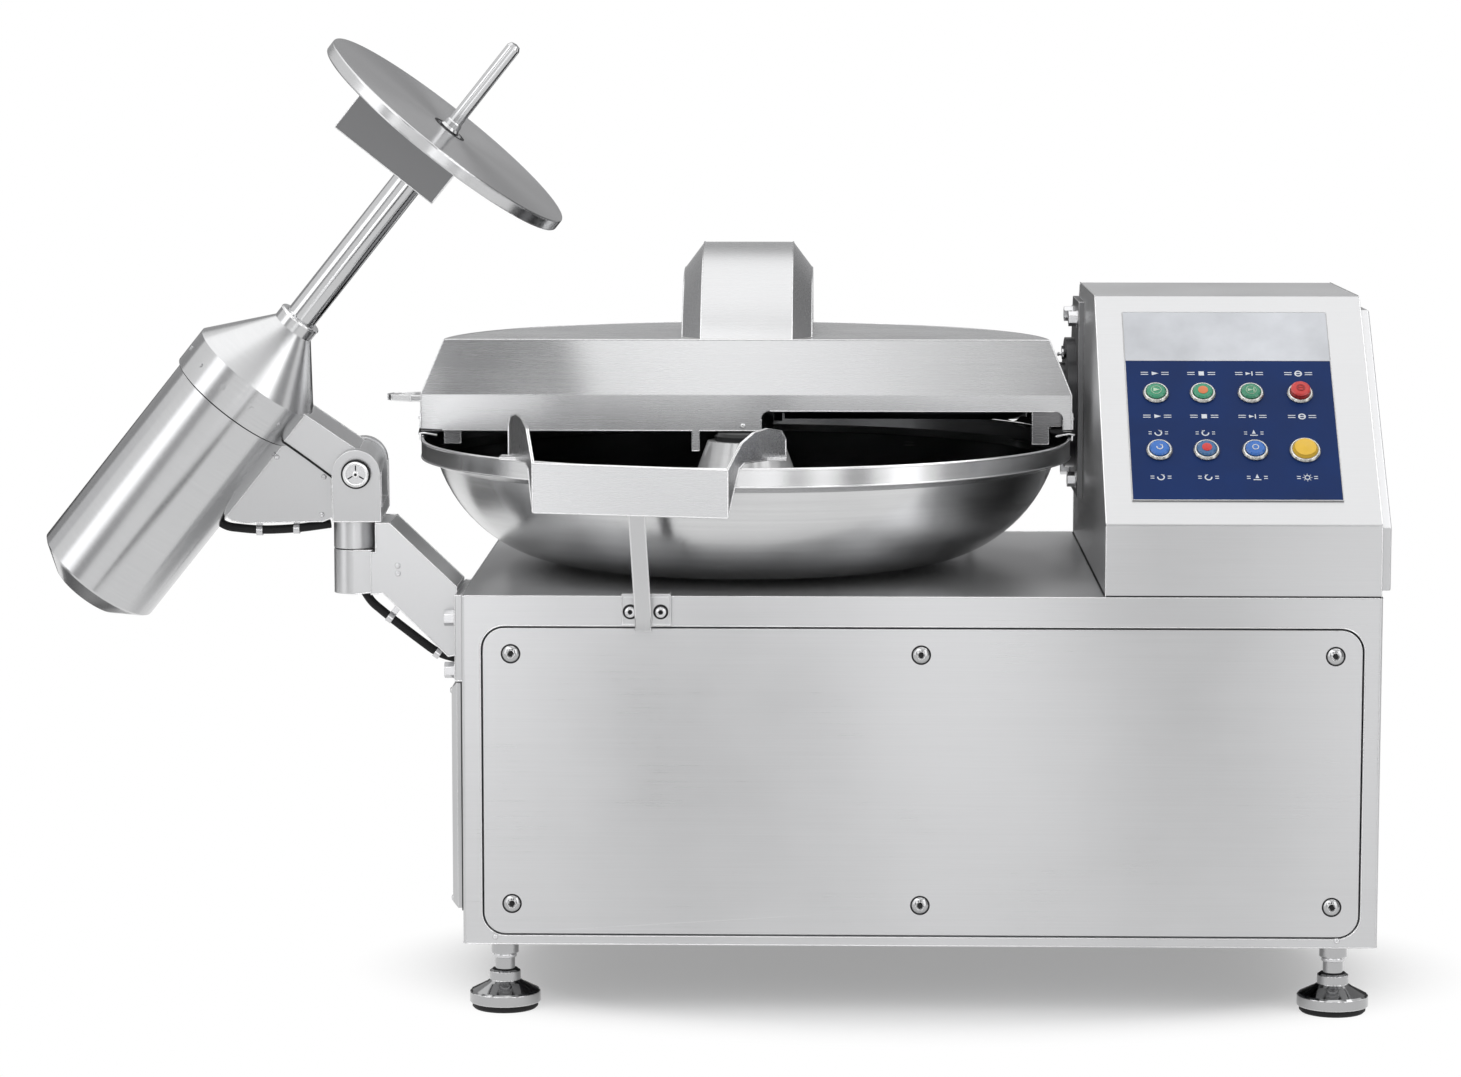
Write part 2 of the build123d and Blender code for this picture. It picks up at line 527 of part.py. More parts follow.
def cover_arm(x0, x1):
    """Hinge strap from the lid's upright wall back to the hinge pin."""
    reach = sqrt(COVER_R ** 2 - (x1 - BOWL_X) ** 2)
    wall_y = BOWL_Y + reach - 12
    outline = [(HINGE_Y - 12, HINGE_Z - 15), (HINGE_Y + 6, HINGE_Z - 18), (HINGE_Y + 18, HINGE_Z - 6),
               (HINGE_Y + 18, HINGE_Z + 8), (HINGE_Y + 8, HINGE_Z + 18), (HINGE_Y - 30, HINGE_Z + 24),
               (wall_y, HINGE_Z + 30), (wall_y, HINGE_Z - 14)]
    return slab_x(outline, x0, x1)


def end_baffle(side):
    """Small plate inside each end of the lid that hangs just into the bowl; side is -1 or 1."""
    wall = COVER_R - SHEET / 2
    outline = [(wall, COVER_Z0 + 6), (wall, COVER_Z0 + 44), (481, COVER_Z0 + 44), (481, RIM - 14),
               (508, RIM - 14), (508, COVER_Z0 + 6)]
    return slab_y([(BOWL_X + side * r, z) for r, z in outline], BOWL_Y + 26, BOWL_Y + 30)


def cover_shell():
    lid = cover_body(0)
    inner = cover_body(SHEET)
    arms = [cover_arm(x, x + 12) - inner for x in (HINGE_X0, HINGE_X1 - 12)]
    lid = fused([lid] + arms) - inner
    # slot under the hood for the knives
    slot_room = block(BOWL_X - 200, BOWL_X + 200, 0, 1200, COVER_Z0 + COVER_H - 60, RIM + 900)
    lid = lid - (hood_body(SHEET) & slot_room)
    # gap over the chute side and round the knife shaft's quill
    notch = block(NOTCH_X0, NOTCH_X1, BOWL_Y - 5, BOWL_Y + 12, COVER_Z0 - 1, COVER_Z0 + NOTCH_H)
    notch = fillet(notch.edges().filter_by(Axis.Y).sort_by(Axis.Z)[2:], 14)
    quill_gap = block(BOWL_X + 380, BOWL_X + 560, KNIFE_Y - 40, KNIFE_Y + 40, COVER_Z0 - 1, KNIFE_Z + 38)
    lid = lid - notch - quill_gap
    pin_bores = rod_x(HINGE_Y, HINGE_Z, HINGE_PIN_R + RUNNING, HINGE_X0 - 1, HINGE_X1 + 1)
    # grip tab at the left end
    tab_x, tab_z = BOWL_X - COVER_R, COVER_Z0 + COVER_WALL_H - 12
    tab = slab_z([(tab_x + 12, BOWL_Y + 4), (tab_x - 18, BOWL_Y + 6), (tab_x - 52, BOWL_Y + 26),
                  (tab_x - 60, BOWL_Y + 46), (tab_x - 52, BOWL_Y + 66), (tab_x - 18, BOWL_Y + 84),
                  (tab_x + 12, BOWL_Y + 86)], tab_z, tab_z + 9)
    tab = tab - block(tab_x - 40, tab_x - 14, BOWL_Y + 32, BOWL_Y + 60, tab_z - 1, tab_z + 10)
    hub_scraper = block(BOWL_X - 90, BOWL_X - 78, BOWL_Y, BOWL_Y + 4, RIM - 24, COVER_Z0 + 12)
    return fused([lid - pin_bores, tab - inner, end_baffle(-1), end_baffle(1), hub_scraper])


def knife_hood():
    """Hollow drum section that stands on the lid over the knives."""
    outer = hood_body(0)
    inner = hood_body(SHEET)
    above = COVER_Z0 + COVER_H
    keep = block(BOWL_X - 200, BOWL_X + 200, BOWL_Y + COVER_BEVEL - 20, 1100, above - 60, above + 400)
    return ((outer - inner) & keep) - cover_body(0)


def cover_seal():
    """Rubber wiper under the lid's curved wall, clear of the rim."""
    low, high = RIM + 1.5, COVER_Z0
    inside = rod_z(BOWL_X, BOWL_Y, COVER_R - SHEET - 3, low - 1, high + 1)
    ring = rod_z(BOWL_X, BOWL_Y, COVER_R, low, high) - inside
    half = block(BOWL_X - 600, BOWL_X + 600, BOWL_Y, BOWL_Y + 600, low - 1, high + 1)
    quill_gap = block(BOWL_X + 380, BOWL_X + 560, KNIFE_Y - 40, KNIFE_Y + 40, low - 1, high + 1)
    return (ring & half) - quill_gap


def hinge_bracket():
    """Pair of ears on the cabinet's back, with the cover's hinge pin fixed in them."""
    front = [(CAB_D + 10, DECK - 150), (CAB_D + 10, DECK - 30), (HINGE_Y - 30, HINGE_Z - 8)]
    crown = [(HINGE_Y - 14, HINGE_Z + 14), (HINGE_Y + 8, HINGE_Z + 17), (HINGE_Y + 20, HINGE_Z)]
    back = [(HINGE_Y + 14, HINGE_Z - 60), (CAB_D + 60, DECK - 100)]
    ear = front + crown + back
    ear_x0, ear_x1 = HINGE_X0 + 14, HINGE_X1 - 14
    ears = [slab_x(ear, x, x + 14) for x in (ear_x0, ear_x1 - 14)]
    plate = block(ear_x0 - 10, ear_x1 + 10, CAB_D, CAB_D + 10, DECK - 170, DECK - 12)
    web = block(ear_x0 + 14, ear_x1 - 14, CAB_D + 30, CAB_D + 40, DECK - 120, DECK + 60)
    pin = rod_x(HINGE_Y, HINGE_Z, HINGE_PIN_R, HINGE_X0 - 2, HINGE_X1 + 2)
    heads = [rod_x(HINGE_Y, HINGE_Z, 15, x, x + 6) for x in (HINGE_X0 - 8, HINGE_X1 + 2)]
    return fused([plate, web, pin] + ears + heads)


# ---- chute --------------------------------------------------------------------------------------------
CHUTE_Y = -115.0
CHUTE_X0, CHUTE_X1 = -603.0, -301.0
WING_REAR_Y = 10.0


def wing(x_front, x_rear, z_front_low, z_front_top, z_rear_top):
    """One side of the chute: an upright plate that climbs over the rim and splays out behind it."""
    length = hypot(x_rear - x_front, WING_REAR_Y - CHUTE_Y)
    rim_run = 0.24 * length
    rear_low = RIM + 8
    front = [(0, z_front_low), (0, z_front_top)]
    top = [(0.24 * length, z_rear_top - 18), (0.45 * length, z_rear_top - 4), (0.68 * length, z_rear_top),
           (0.92 * length, z_rear_top - 6), (length, z_rear_top - 20)]
    over_rim = [(length, rear_low), (rim_run + 6, rear_low), (rim_run - 8, rear_low - 8)]
    along = Vector(x_rear - x_front, WING_REAR_Y - CHUTE_Y, 0).normalized()
    side = Vector(along.Y, -along.X, 0)
    inward = side if x_rear < x_front else -side
    face = Plane(origin=(x_front, CHUTE_Y, 0), x_dir=along, z_dir=side)
    return extrude(face * Polygon(*front, *top, *over_rim, align=None), amount=SHEET, dir=inward)


def chute():
    low_l, top_l, low_r, top_r = FOOT_H + 703, FOOT_H + 779, FOOT_H + 695, FOOT_H + 769
    front = slab_y([(CHUTE_X0, low_l), (CHUTE_X0, top_l), (CHUTE_X1, top_r), (CHUTE_X1, low_r)],
                   CHUTE_Y, CHUTE_Y + SHEET)
    left = wing(CHUTE_X0, -649.0, low_l, top_l, FOOT_H + 848)
    right = wing(CHUTE_X1, -213.0, low_r, top_r, FOOT_H + 826)
    feet = [block(-660, -630, WING_REAR_Y - 40, WING_REAR_Y, RIM + 8, RIM + 11),
            block(-256, -212, WING_REAR_Y - 40, WING_REAR_Y, RIM + 8, RIM + 11)]
    return fused([front, left, right] + feet)


def chute_post():
    """Leaning strap and its bracket hooked on the deck's front edge."""
    strap_w, strap_t = 24.0, 6.0
    x_mid = -452.0
    z_low, z_high = FOOT_H + 505, FOOT_H + 765
    y_low, y_high = -12.0 - strap_t, CHUTE_Y
    z_knee = FOOT_H + 700
    y_top = y_high + SHEET
    rear = [(y_low, z_low), (y_low + strap_t, z_low), (y_low + strap_t, DECK - 30), (y_top + strap_t, z_knee)]
    front = [(y_top + strap_t, z_high), (y_top, z_high), (y_top, z_knee - 2), (y_low, DECK - 32)]
    strap = slab_x(rear + front, x_mid - strap_w / 2, x_mid + strap_w / 2)
    plate = block(-470, -394, -12, 0, DECK - 44, DECK)
    hook = block(-470, -394, -12, 26, DECK, DECK + 5)
    bolts = [Pos(x, -12, DECK - 23) * Rot(90, 0, 0) * socket_screw(10, 6) for x in (-456, -410)]
    return fused([strap, plate, hook] + bolts)


# ---- discharge arm ------------------------------------------------------------------------------------
ARM_Y0, ARM_Y1 = ARM_Y - 65.0, ARM_Y + 65.0
COLUMN_R = 35.0
YOKE_LOW, YOKE_HIGH = FOOT_H + 618.0, FOOT_H + 661.0
SWIVEL_PIN_R = 16.0
EAR_HALF, EAR_T = 65.0, 17.0
TILT_PIN_R = 15.0


def arm_bracket():
    """Fixed arm: base plate on the cabinet's side, sloping box, column and the upright swivel pin."""
    z = FOOT_H
    box = slab_y([(-846, z + 663), (-739, z + 561), (-739, z + 452), (-753, z + 449), (-857, z + 551),
                  (ARM_X, z + 545), (ARM_X, z + 616), (-868, z + 616), (-868, z + 663)], ARM_Y0, ARM_Y1)
    column = rod_z(ARM_X, ARM_Y, COLUMN_R, z + 545, z + 616)
    front_cut = block(ARM_X - 60, -876, ARM_Y0 - 1, ARM_Y - COLUMN_R, z + 540, z + 620)
    rear_cut = block(ARM_X - 60, -876, ARM_Y + COLUMN_R, ARM_Y1 + 1, z + 540, z + 620)
    turn_room = rod_z(ARM_X, ARM_Y, COLUMN_R + 5, z + 616, z + 670)
    plate = block(-739, -HALF_W, ARM_Y0 - 36, ARM_Y1 + 36, z + 415, z + 552)
    pin = rod_z(ARM_X, ARM_Y, SWIVEL_PIN_R, z + 616, YOKE_HIGH + 4)
    return fused([box - front_cut - rear_cut - turn_room, column, plate, pin])


def hex_bolts():
    """Hexagon bolts of the arm's base plate and of the bearing plate."""
    bolts = []
    for y in (ARM_Y0 - 18, ARM_Y1 + 18):
        for z in (FOOT_H + 430, FOOT_H + 514):
            bolts.append(Pos(-739, y, z) * Rot(0, -90, 0) * hex_bolt_head(13, 16))
    for y, z in PLATE_BOLTS:
        bolts.append(Pos(TOWER_X0 - PLATE_T, y, z) * Rot(0, -90, 0) * hex_bolt_head(13, 14))
    return joined(bolts)


def swivel_yoke():
    """Swivel head: bored barrel on the swivel pin, and the two leaning ears of the tilt pin."""
    barrel = rod_z(ARM_X, ARM_Y, COLUMN_R, YOKE_LOW, YOKE_HIGH + 14)
    ear_out = [(-38, -78), (38, -78), (38, 0), (-38, 0)]
    parts = []
    for v0, v1 in ((-EAR_HALF, -EAR_HALF + EAR_T), (EAR_HALF - EAR_T, EAR_HALF)):
        parts.append(slab_y(ear_out, v0, v1) + rod_y(0, 0, 38, v0, v1))
    bridge = block(-38, 38, -EAR_HALF, EAR_HALF, -78, -58)
    head = fused(parts + [bridge]) - rod_y(0, 0, TILT_PIN_R, -EAR_HALF - 1, EAR_HALF + 1)
    yoke = barrel + tilted(head)
    bore = rod_z(ARM_X, ARM_Y, SWIVEL_PIN_R + RUNNING, YOKE_LOW - 1, YOKE_HIGH + 8)
    return yoke - bore


def tilted(shape):
    """From the tilt pin's own frame, X to the right and Y along the pin, to its leaning place."""
    return Pos(PIN) * Rot(TILT_LEAN, 0, 0) * shape


def tilt_pin():
    pin = rod_y(0, 0, TILT_PIN_R, -EAR_HALF, EAR_HALF)
    caps = [rod_y(0, 0, 20, -EAR_HALF - 6, -EAR_HALF), rod_y(0, 0, 20, EAR_HALF, EAR_HALF + 6)]
    return tilted(fused([pin] + caps))


def along_tube(shape):
    """From a frame with Z along the discharge axis and Z = 0 beside the tilt pin, to its parked place."""
    lift = Vector(-sin(radians(TUBE_ANGLE)), 0, cos(radians(TUBE_ANGLE))) * AXIS_OFFSET
    return tilted(Pos(lift) * Rot(0, 90 - TUBE_ANGLE, 0) * shape)


# stations along the discharge axis, measured from the point beside the tilt pin
BARREL_LOW, RING_LOW, RING_TOP, NECK, COLLAR_TOP = -406.0, -43.0, 18.0, 111.0, 131.0
TUBE_TOP = 470.0
DISC_LOW = 498.0
DISC_TOP = DISC_LOW + DISC_T
ROD_TOP = 690.0
BARREL_R, RING_R, NECK_R, TUBE_R = 105.0, 111.0, 35.0, 25.0
DRIVE_R = 12.0


def arm_carrier():
    """Tilting arm: hub on the tilt pin, box arm up to the cap ring and gusset down the barrel's side."""
    half = EAR_HALF - EAR_T - 1.0
    hub = rod_y(0, 0, 34, -half, half)
    arm = slab_y([(2, 34), (-90, 98), (-132, 60), (-30, -16), (0, -30)], -half, half)
    gusset_near = [(-120, 60), (-45, -4), (-45, -81), (-60, -87)]
    gusset_low = [(-189, -90), (-207, -86), (-220, -76), (-230, -60)]
    gusset = slab_y(gusset_near + gusset_low, -20, 20)
    body = tilted(fused([hub, arm, gusset]))
    body = body - along_tube(rod_z(0, 0, BARREL_R, BARREL_LOW - 50, RING_LOW))
    body = body - along_tube(rod_z(0, 0, RING_R, RING_LOW, RING_TOP))
    body = body - along_tube(Pos(0, 0, (RING_TOP + NECK) / 2) * Cone(RING_R, NECK_R, NECK - RING_TOP))
    return body - tilted(rod_y(0, 0, TILT_PIN_R + RUNNING, -half - 1, half + 1))


def drive_barrel():
    wall = 3.0
    low = BARREL_LOW
    profile = [(0, low - 34), (60, low - 34), (BARREL_R - 4, low - 4), (BARREL_R, low), (BARREL_R, RING_LOW),
               (BARREL_R - wall, RING_LOW), (BARREL_R - wall, low + 2), (58, low - 30), (0, low - 30)]
    return along_tube(turned(profile))


def barrel_cone():
    """Cap ring, cone and collar in one spinning, with its small ring screws."""
    wall = 3.0
    ring = [(BARREL_R, RING_LOW), (RING_R, RING_LOW), (RING_R, RING_TOP)]
    neck = [(NECK_R, NECK), (NECK_R, COLLAR_TOP), (TUBE_R, COLLAR_TOP), (TUBE_R, NECK)]
    cone = turned(ring + neck + [(BARREL_R, RING_TOP - wall)])
    screws = []
    for k in range(1, 11):
        spot = Rot(0, 0, 30 * k + 15) * Pos(RING_R - 1, 0, (RING_LOW + RING_TOP) / 2) * Rot(0, 90, 0)
        screws.append(spot * Pos(0, 0, 1.5) * Cylinder(4.5, 3))
    return along_tube(fused([cone] + screws))


def discharge_tube():
    tube = rod_z(0, 0, TUBE_R, NECK, TUBE_TOP) - rod_z(0, 0, TUBE_R - 4, NECK - 1, TUBE_TOP + 1)
    low = RING_LOW - 40
    carrier = rod_z(0, 0, TUBE_R, low, NECK) - rod_z(0, 0, TUBE_R - 4, low - 1, NECK + 1)
    bushes = []
    for z in (low + 5, TUBE_TOP - 30):
        bushes.append(rod_z(0, 0, TUBE_R - 4, z, z + 25) - rod_z(0, 0, DRIVE_R + RUNNING, z - 1, z + 26))
    return along_tube(fused([tube, carrier] + bushes))


def gearmotor():
    """Motor and reduction gear inside the barrel, bored for the drive shaft."""
    low, high = BARREL_LOW + 10, RING_LOW - 40
    body = rod_z(0, 0, 78, low, low + 170) + rod_z(0, 0, 92, low + 170, high)
    plate = rod_z(0, 0, BARREL_R - 3, high - 14, high)
    return along_tube((body + plate) - rod_z(0, 0, DRIVE_R + RUNNING, high - 60, high + 1))


def discharge_shaft():
    shaft = rod_z(0, 0, DRIVE_R, RING_LOW - 95, DISC_LOW)
    return along_tube(shaft + rod_z(0, 0, 22, DISC_LOW - 14, DISC_LOW))


def discharge_disc():
    """Flat disc with rounded edges and a shallow recess round its centre."""
    disc = rod_z(0, 0, DISC_R, DISC_LOW, DISC_TOP)
    disc = fillet(disc.edges(), 3)
    recess = rod_z(0, 0, 24, DISC_TOP - 4, DISC_TOP + 1)
    return along_tube(disc - recess)


def handle_rod():
    """Clamp rod that screws the disc to the drive shaft, with a round tip and a collar."""
    low = DISC_TOP - 4
    rod = turned([(0, low), (17, low), (17, low + 6), (14, low + 10), (14, low + 18), (11.5, low + 20),
                  (11.5, ROD_TOP - 8), (8, ROD_TOP - 2), (0, ROD_TOP)])
    return along_tube(rod)


def scraper_plate():
    """Upright blade with folded ends beside the tube, close under the disc."""
    low, high = TUBE_TOP - 58, DISC_LOW - 3
    near, far = -TUBE_R - 5.0, -TUBE_R
    blade = slab_x([(near, low), (far, low), (far, high), (near, high)], -143, 50)
    ends = [block(-143, -139, near, far + 18, low, high), block(46, 50, near, far + 18, low, high)]
    clamp = block(-32, 32, far, TUBE_R + 6, low + 8, low + 40)
    return along_tube(fused([blade, clamp] + ends) - rod_z(0, 0, TUBE_R, low - 1, TUBE_TOP))


# ---- cables -------------------------------------------------------------------------------------------
def cable(points, radius, share=0.45):
    """A tube along straight runs joined by arcs as large as the runs allow."""
    corners = []
    for before, here, after in zip(points, points[1:], points[2:]):
        run_in, run_out = Vector(here) - Vector(before), Vector(after) - Vector(here)
        turn = radians(run_in.get_angle(run_out))
        corners.append(share * min(run_in.length, run_out.length) / tan(turn / 2))
    print("cable radii", [round(r) for r in corners])
    path = FilletPolyline(*points, radius=corners)
    start = Plane(origin=path @ 0, z_dir=path % 0)
    return sweep(start * Circle(radius), path=path)


CABLE_R = 7.0
GUSSET_CABLE = [(-243, 0, -80), (-221, 0, -100), (-165, 0, -106), (-105, 0, -103), (-50, 0, -95)]
ARM_CABLE = [(-893, ARM_Y, FOOT_H + 545), (-882, ARM_Y, FOOT_H + 528), (-852, ARM_Y, FOOT_H + 503),
             (-812, ARM_Y, FOOT_H + 472), (-776, ARM_Y, FOOT_H + 445), (-739, ARM_Y, FOOT_H + 435)]


def gusset_cable():
    line = tilted(cable(GUSSET_CABLE, CABLE_R))
    return line - along_tube(rod_z(0, 0, BARREL_R, BARREL_LOW - 50, RING_LOW))


def arm_cable():
    return cable(ARM_CABLE, CABLE_R) - arm_bracket()


# ---- write every piece --------------------------------------------------------------------------------
PUSH_BUTTONS = {
    "run_button": (0, 0), "stop_button": (1, 0), "jog_button": (2, 0), "emergency_button": (3, 0),
    "forward_button": (0, 1), "reverse_button": (1, 1), "discharge_button": (2, 1),
}

pieces = {
    "cabinet_shell": cabinet_shell(), "base_frame": base_frame(),
    "front_panel": access_panel(True), "rear_panel": access_panel(False), "panel_screws": panel_screws(),
    "left_side_cover": left_side_cover(), "right_side_cover": right_side_cover(),
    "levelling_feet": levelling_feet(), "foot_pads": foot_pads(),
    "tower_shell": tower_shell(), "tower_door": tower_door(), "control_plate": control_plate(),
    "display_window": display_window(), "button_bezels": button_bezels(), "power_lamp": power_lamp(),
    "bearing_plate": bearing_plate(), "knife_housing": knife_housing(), "shaft_bearings": shaft_bearings(),
    "knife_shaft": knife_shaft(), "knife_set": knife_set(),
    "knife_pulley": grooved_pulley(KNIFE_Y, KNIFE_Z, KNIFE_PULLEY_R, SHAFT_R),
    "knife_belts": knife_belts(), "knife_motor": knife_motor(), "motor_pulley": motor_pulley(),
    "bowl": bowl(), "bowl_spindle": bowl_spindle(), "hub_cap": hub_cap(),
    "spindle_housing": spindle_housing(), "worm_wheel": worm_wheel(), "worm_shaft": worm_shaft(),
    "gearbox_case": gearbox_case(), "bowl_motor": bowl_motor(),
    "cover_shell": cover_shell(), "knife_hood": knife_hood(), "cover_seal": cover_seal(),
    "hinge_bracket": hinge_bracket(), "chute": chute(), "chute_post": chute_post(),
    "arm_bracket": arm_bracket(), "hex_bolts": hex_bolts(), "swivel_yoke": swivel_yoke(),
    "tilt_pin": tilt_pin(), "arm_carrier": arm_carrier(), "drive_barrel": drive_barrel(),
    "barrel_cone": barrel_cone(),
    "discharge_tube": discharge_tube(), "gearmotor": gearmotor(), "scraper_plate": scraper_plate(),
    "discharge_shaft": discharge_shaft(), "discharge_disc": discharge_disc(), "handle_rod": handle_rod(),
    "gusset_cable": gusset_cable(), "arm_cable": arm_cable(),
}
for name, (column, row) in PUSH_BUTTONS.items():
    rise = 17.0 if name == "emergency_button" else 11.0
    pieces[name] = push_button(BUTTON_XS[column], BUTTON_US[row], rise)

os.makedirs("parts", exist_ok=True)
for name, shape in pieces.items():
    placed = joined([Pos(-ROW_ORIGIN) * shape])
    placed.label = name
    export_step(placed, f"parts/{name}.step")
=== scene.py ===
import math

import bmesh
import bpy
from mathutils import Matrix, Vector


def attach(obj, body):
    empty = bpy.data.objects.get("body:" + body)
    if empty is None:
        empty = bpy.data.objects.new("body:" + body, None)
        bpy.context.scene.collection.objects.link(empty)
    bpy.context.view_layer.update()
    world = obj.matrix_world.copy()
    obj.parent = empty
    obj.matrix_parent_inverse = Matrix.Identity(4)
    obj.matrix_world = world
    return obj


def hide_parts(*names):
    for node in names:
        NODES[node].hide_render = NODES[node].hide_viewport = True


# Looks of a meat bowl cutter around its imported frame. Lengths are millimetres in the machine's working frame
# (X = 0 the cabinet's middle, Y = 0 its front face, Z = 0 the floor) and at() turns them into the row frame.

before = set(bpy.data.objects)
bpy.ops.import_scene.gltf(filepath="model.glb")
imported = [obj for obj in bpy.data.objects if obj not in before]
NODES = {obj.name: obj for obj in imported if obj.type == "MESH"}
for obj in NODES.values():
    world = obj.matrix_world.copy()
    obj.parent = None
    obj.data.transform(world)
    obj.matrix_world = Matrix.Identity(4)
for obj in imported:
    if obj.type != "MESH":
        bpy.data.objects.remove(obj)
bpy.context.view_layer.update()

MM = 0.001
ROW_ORIGIN = Vector((-335.0, 448.0, 0.0))

# ---- the machine's own sizes, as in its CAD source ------------------------------------------------------
HALF_W, CAB_D = 725.0, 911.0
FOOT_H, DECK, RIM = 118.0, 676.0, 887.0
BOWL_X, BOWL_Y, BOWL_R, BAND_H = -285.0, 455.0, 542.0, 29.0
TROUGH_RING, TROUGH_MIDDLE, TROUGH_R, HUB_R = 288.0, RIM + 35.0, 236.0, 112.0
KNIFE_Y, KNIFE_Z = 745.0, 922.0
COVER_R, COVER_Z0, COVER_WALL_H, COVER_BEVEL, COVER_H = 545.0, 897.0, 60.0, 35.0, 150.0
TOWER_X0, TOWER_X1, TOWER_FOLD_Z, TOWER_TOP_Z = 290.0, 722.0, 791.0, 1130.0
TOWER_FACE_Y, TOWER_TOP_Y, TOWER_BACK_Y = 2.0, 348.0, 885.0
SCREW_XS, SCREW_ZS = (-647.0, 1.0, 652.0), (183.0, 584.0)
ARM_X, ARM_Y = -907.0, 150.0
PIN = Vector((-898.3, 150.0, 866.6))
TILT_LEAN, TUBE_ANGLE, AXIS_OFFSET = math.radians(5.5), math.radians(51.18), 221.5


def at(x, y, z):
    """A working-frame point in millimetres as a row-frame point in metres."""
    return (Vector((x, y, z)) - ROW_ORIGIN) * MM


TILTED = Matrix.Translation(PIN) @ Matrix.Rotation(TILT_LEAN, 4, "X")
TUBE_LIFT = Vector((-math.sin(TUBE_ANGLE), 0, math.cos(TUBE_ANGLE))) * AXIS_OFFSET
ALONG_TUBE = TILTED @ Matrix.Translation(TUBE_LIFT) @ Matrix.Rotation(math.pi / 2 - TUBE_ANGLE, 4, "Y")
SLOPE_RUN = Vector((0, TOWER_TOP_Y - TOWER_FACE_Y, TOWER_TOP_Z - TOWER_FOLD_Z)).normalized()
SLOPE_OUT = Vector((0, -SLOPE_RUN.z, SLOPE_RUN.y))
PANEL_FACE = Matrix.Translation((0, TOWER_FACE_Y, TOWER_FOLD_Z)) @ Matrix(
    ((1, 0, 0, 0), (0, SLOPE_RUN.y, SLOPE_OUT.y, 0), (0, SLOPE_RUN.z, SLOPE_OUT.z, 0), (0, 0, 0, 1)))
TUBE_AXIS = (ALONG_TUBE.to_3x3() @ Vector((0, 0, 1))).normalized()
TUBE_POINT = ALONG_TUBE @ Vector((0, 0, 0))


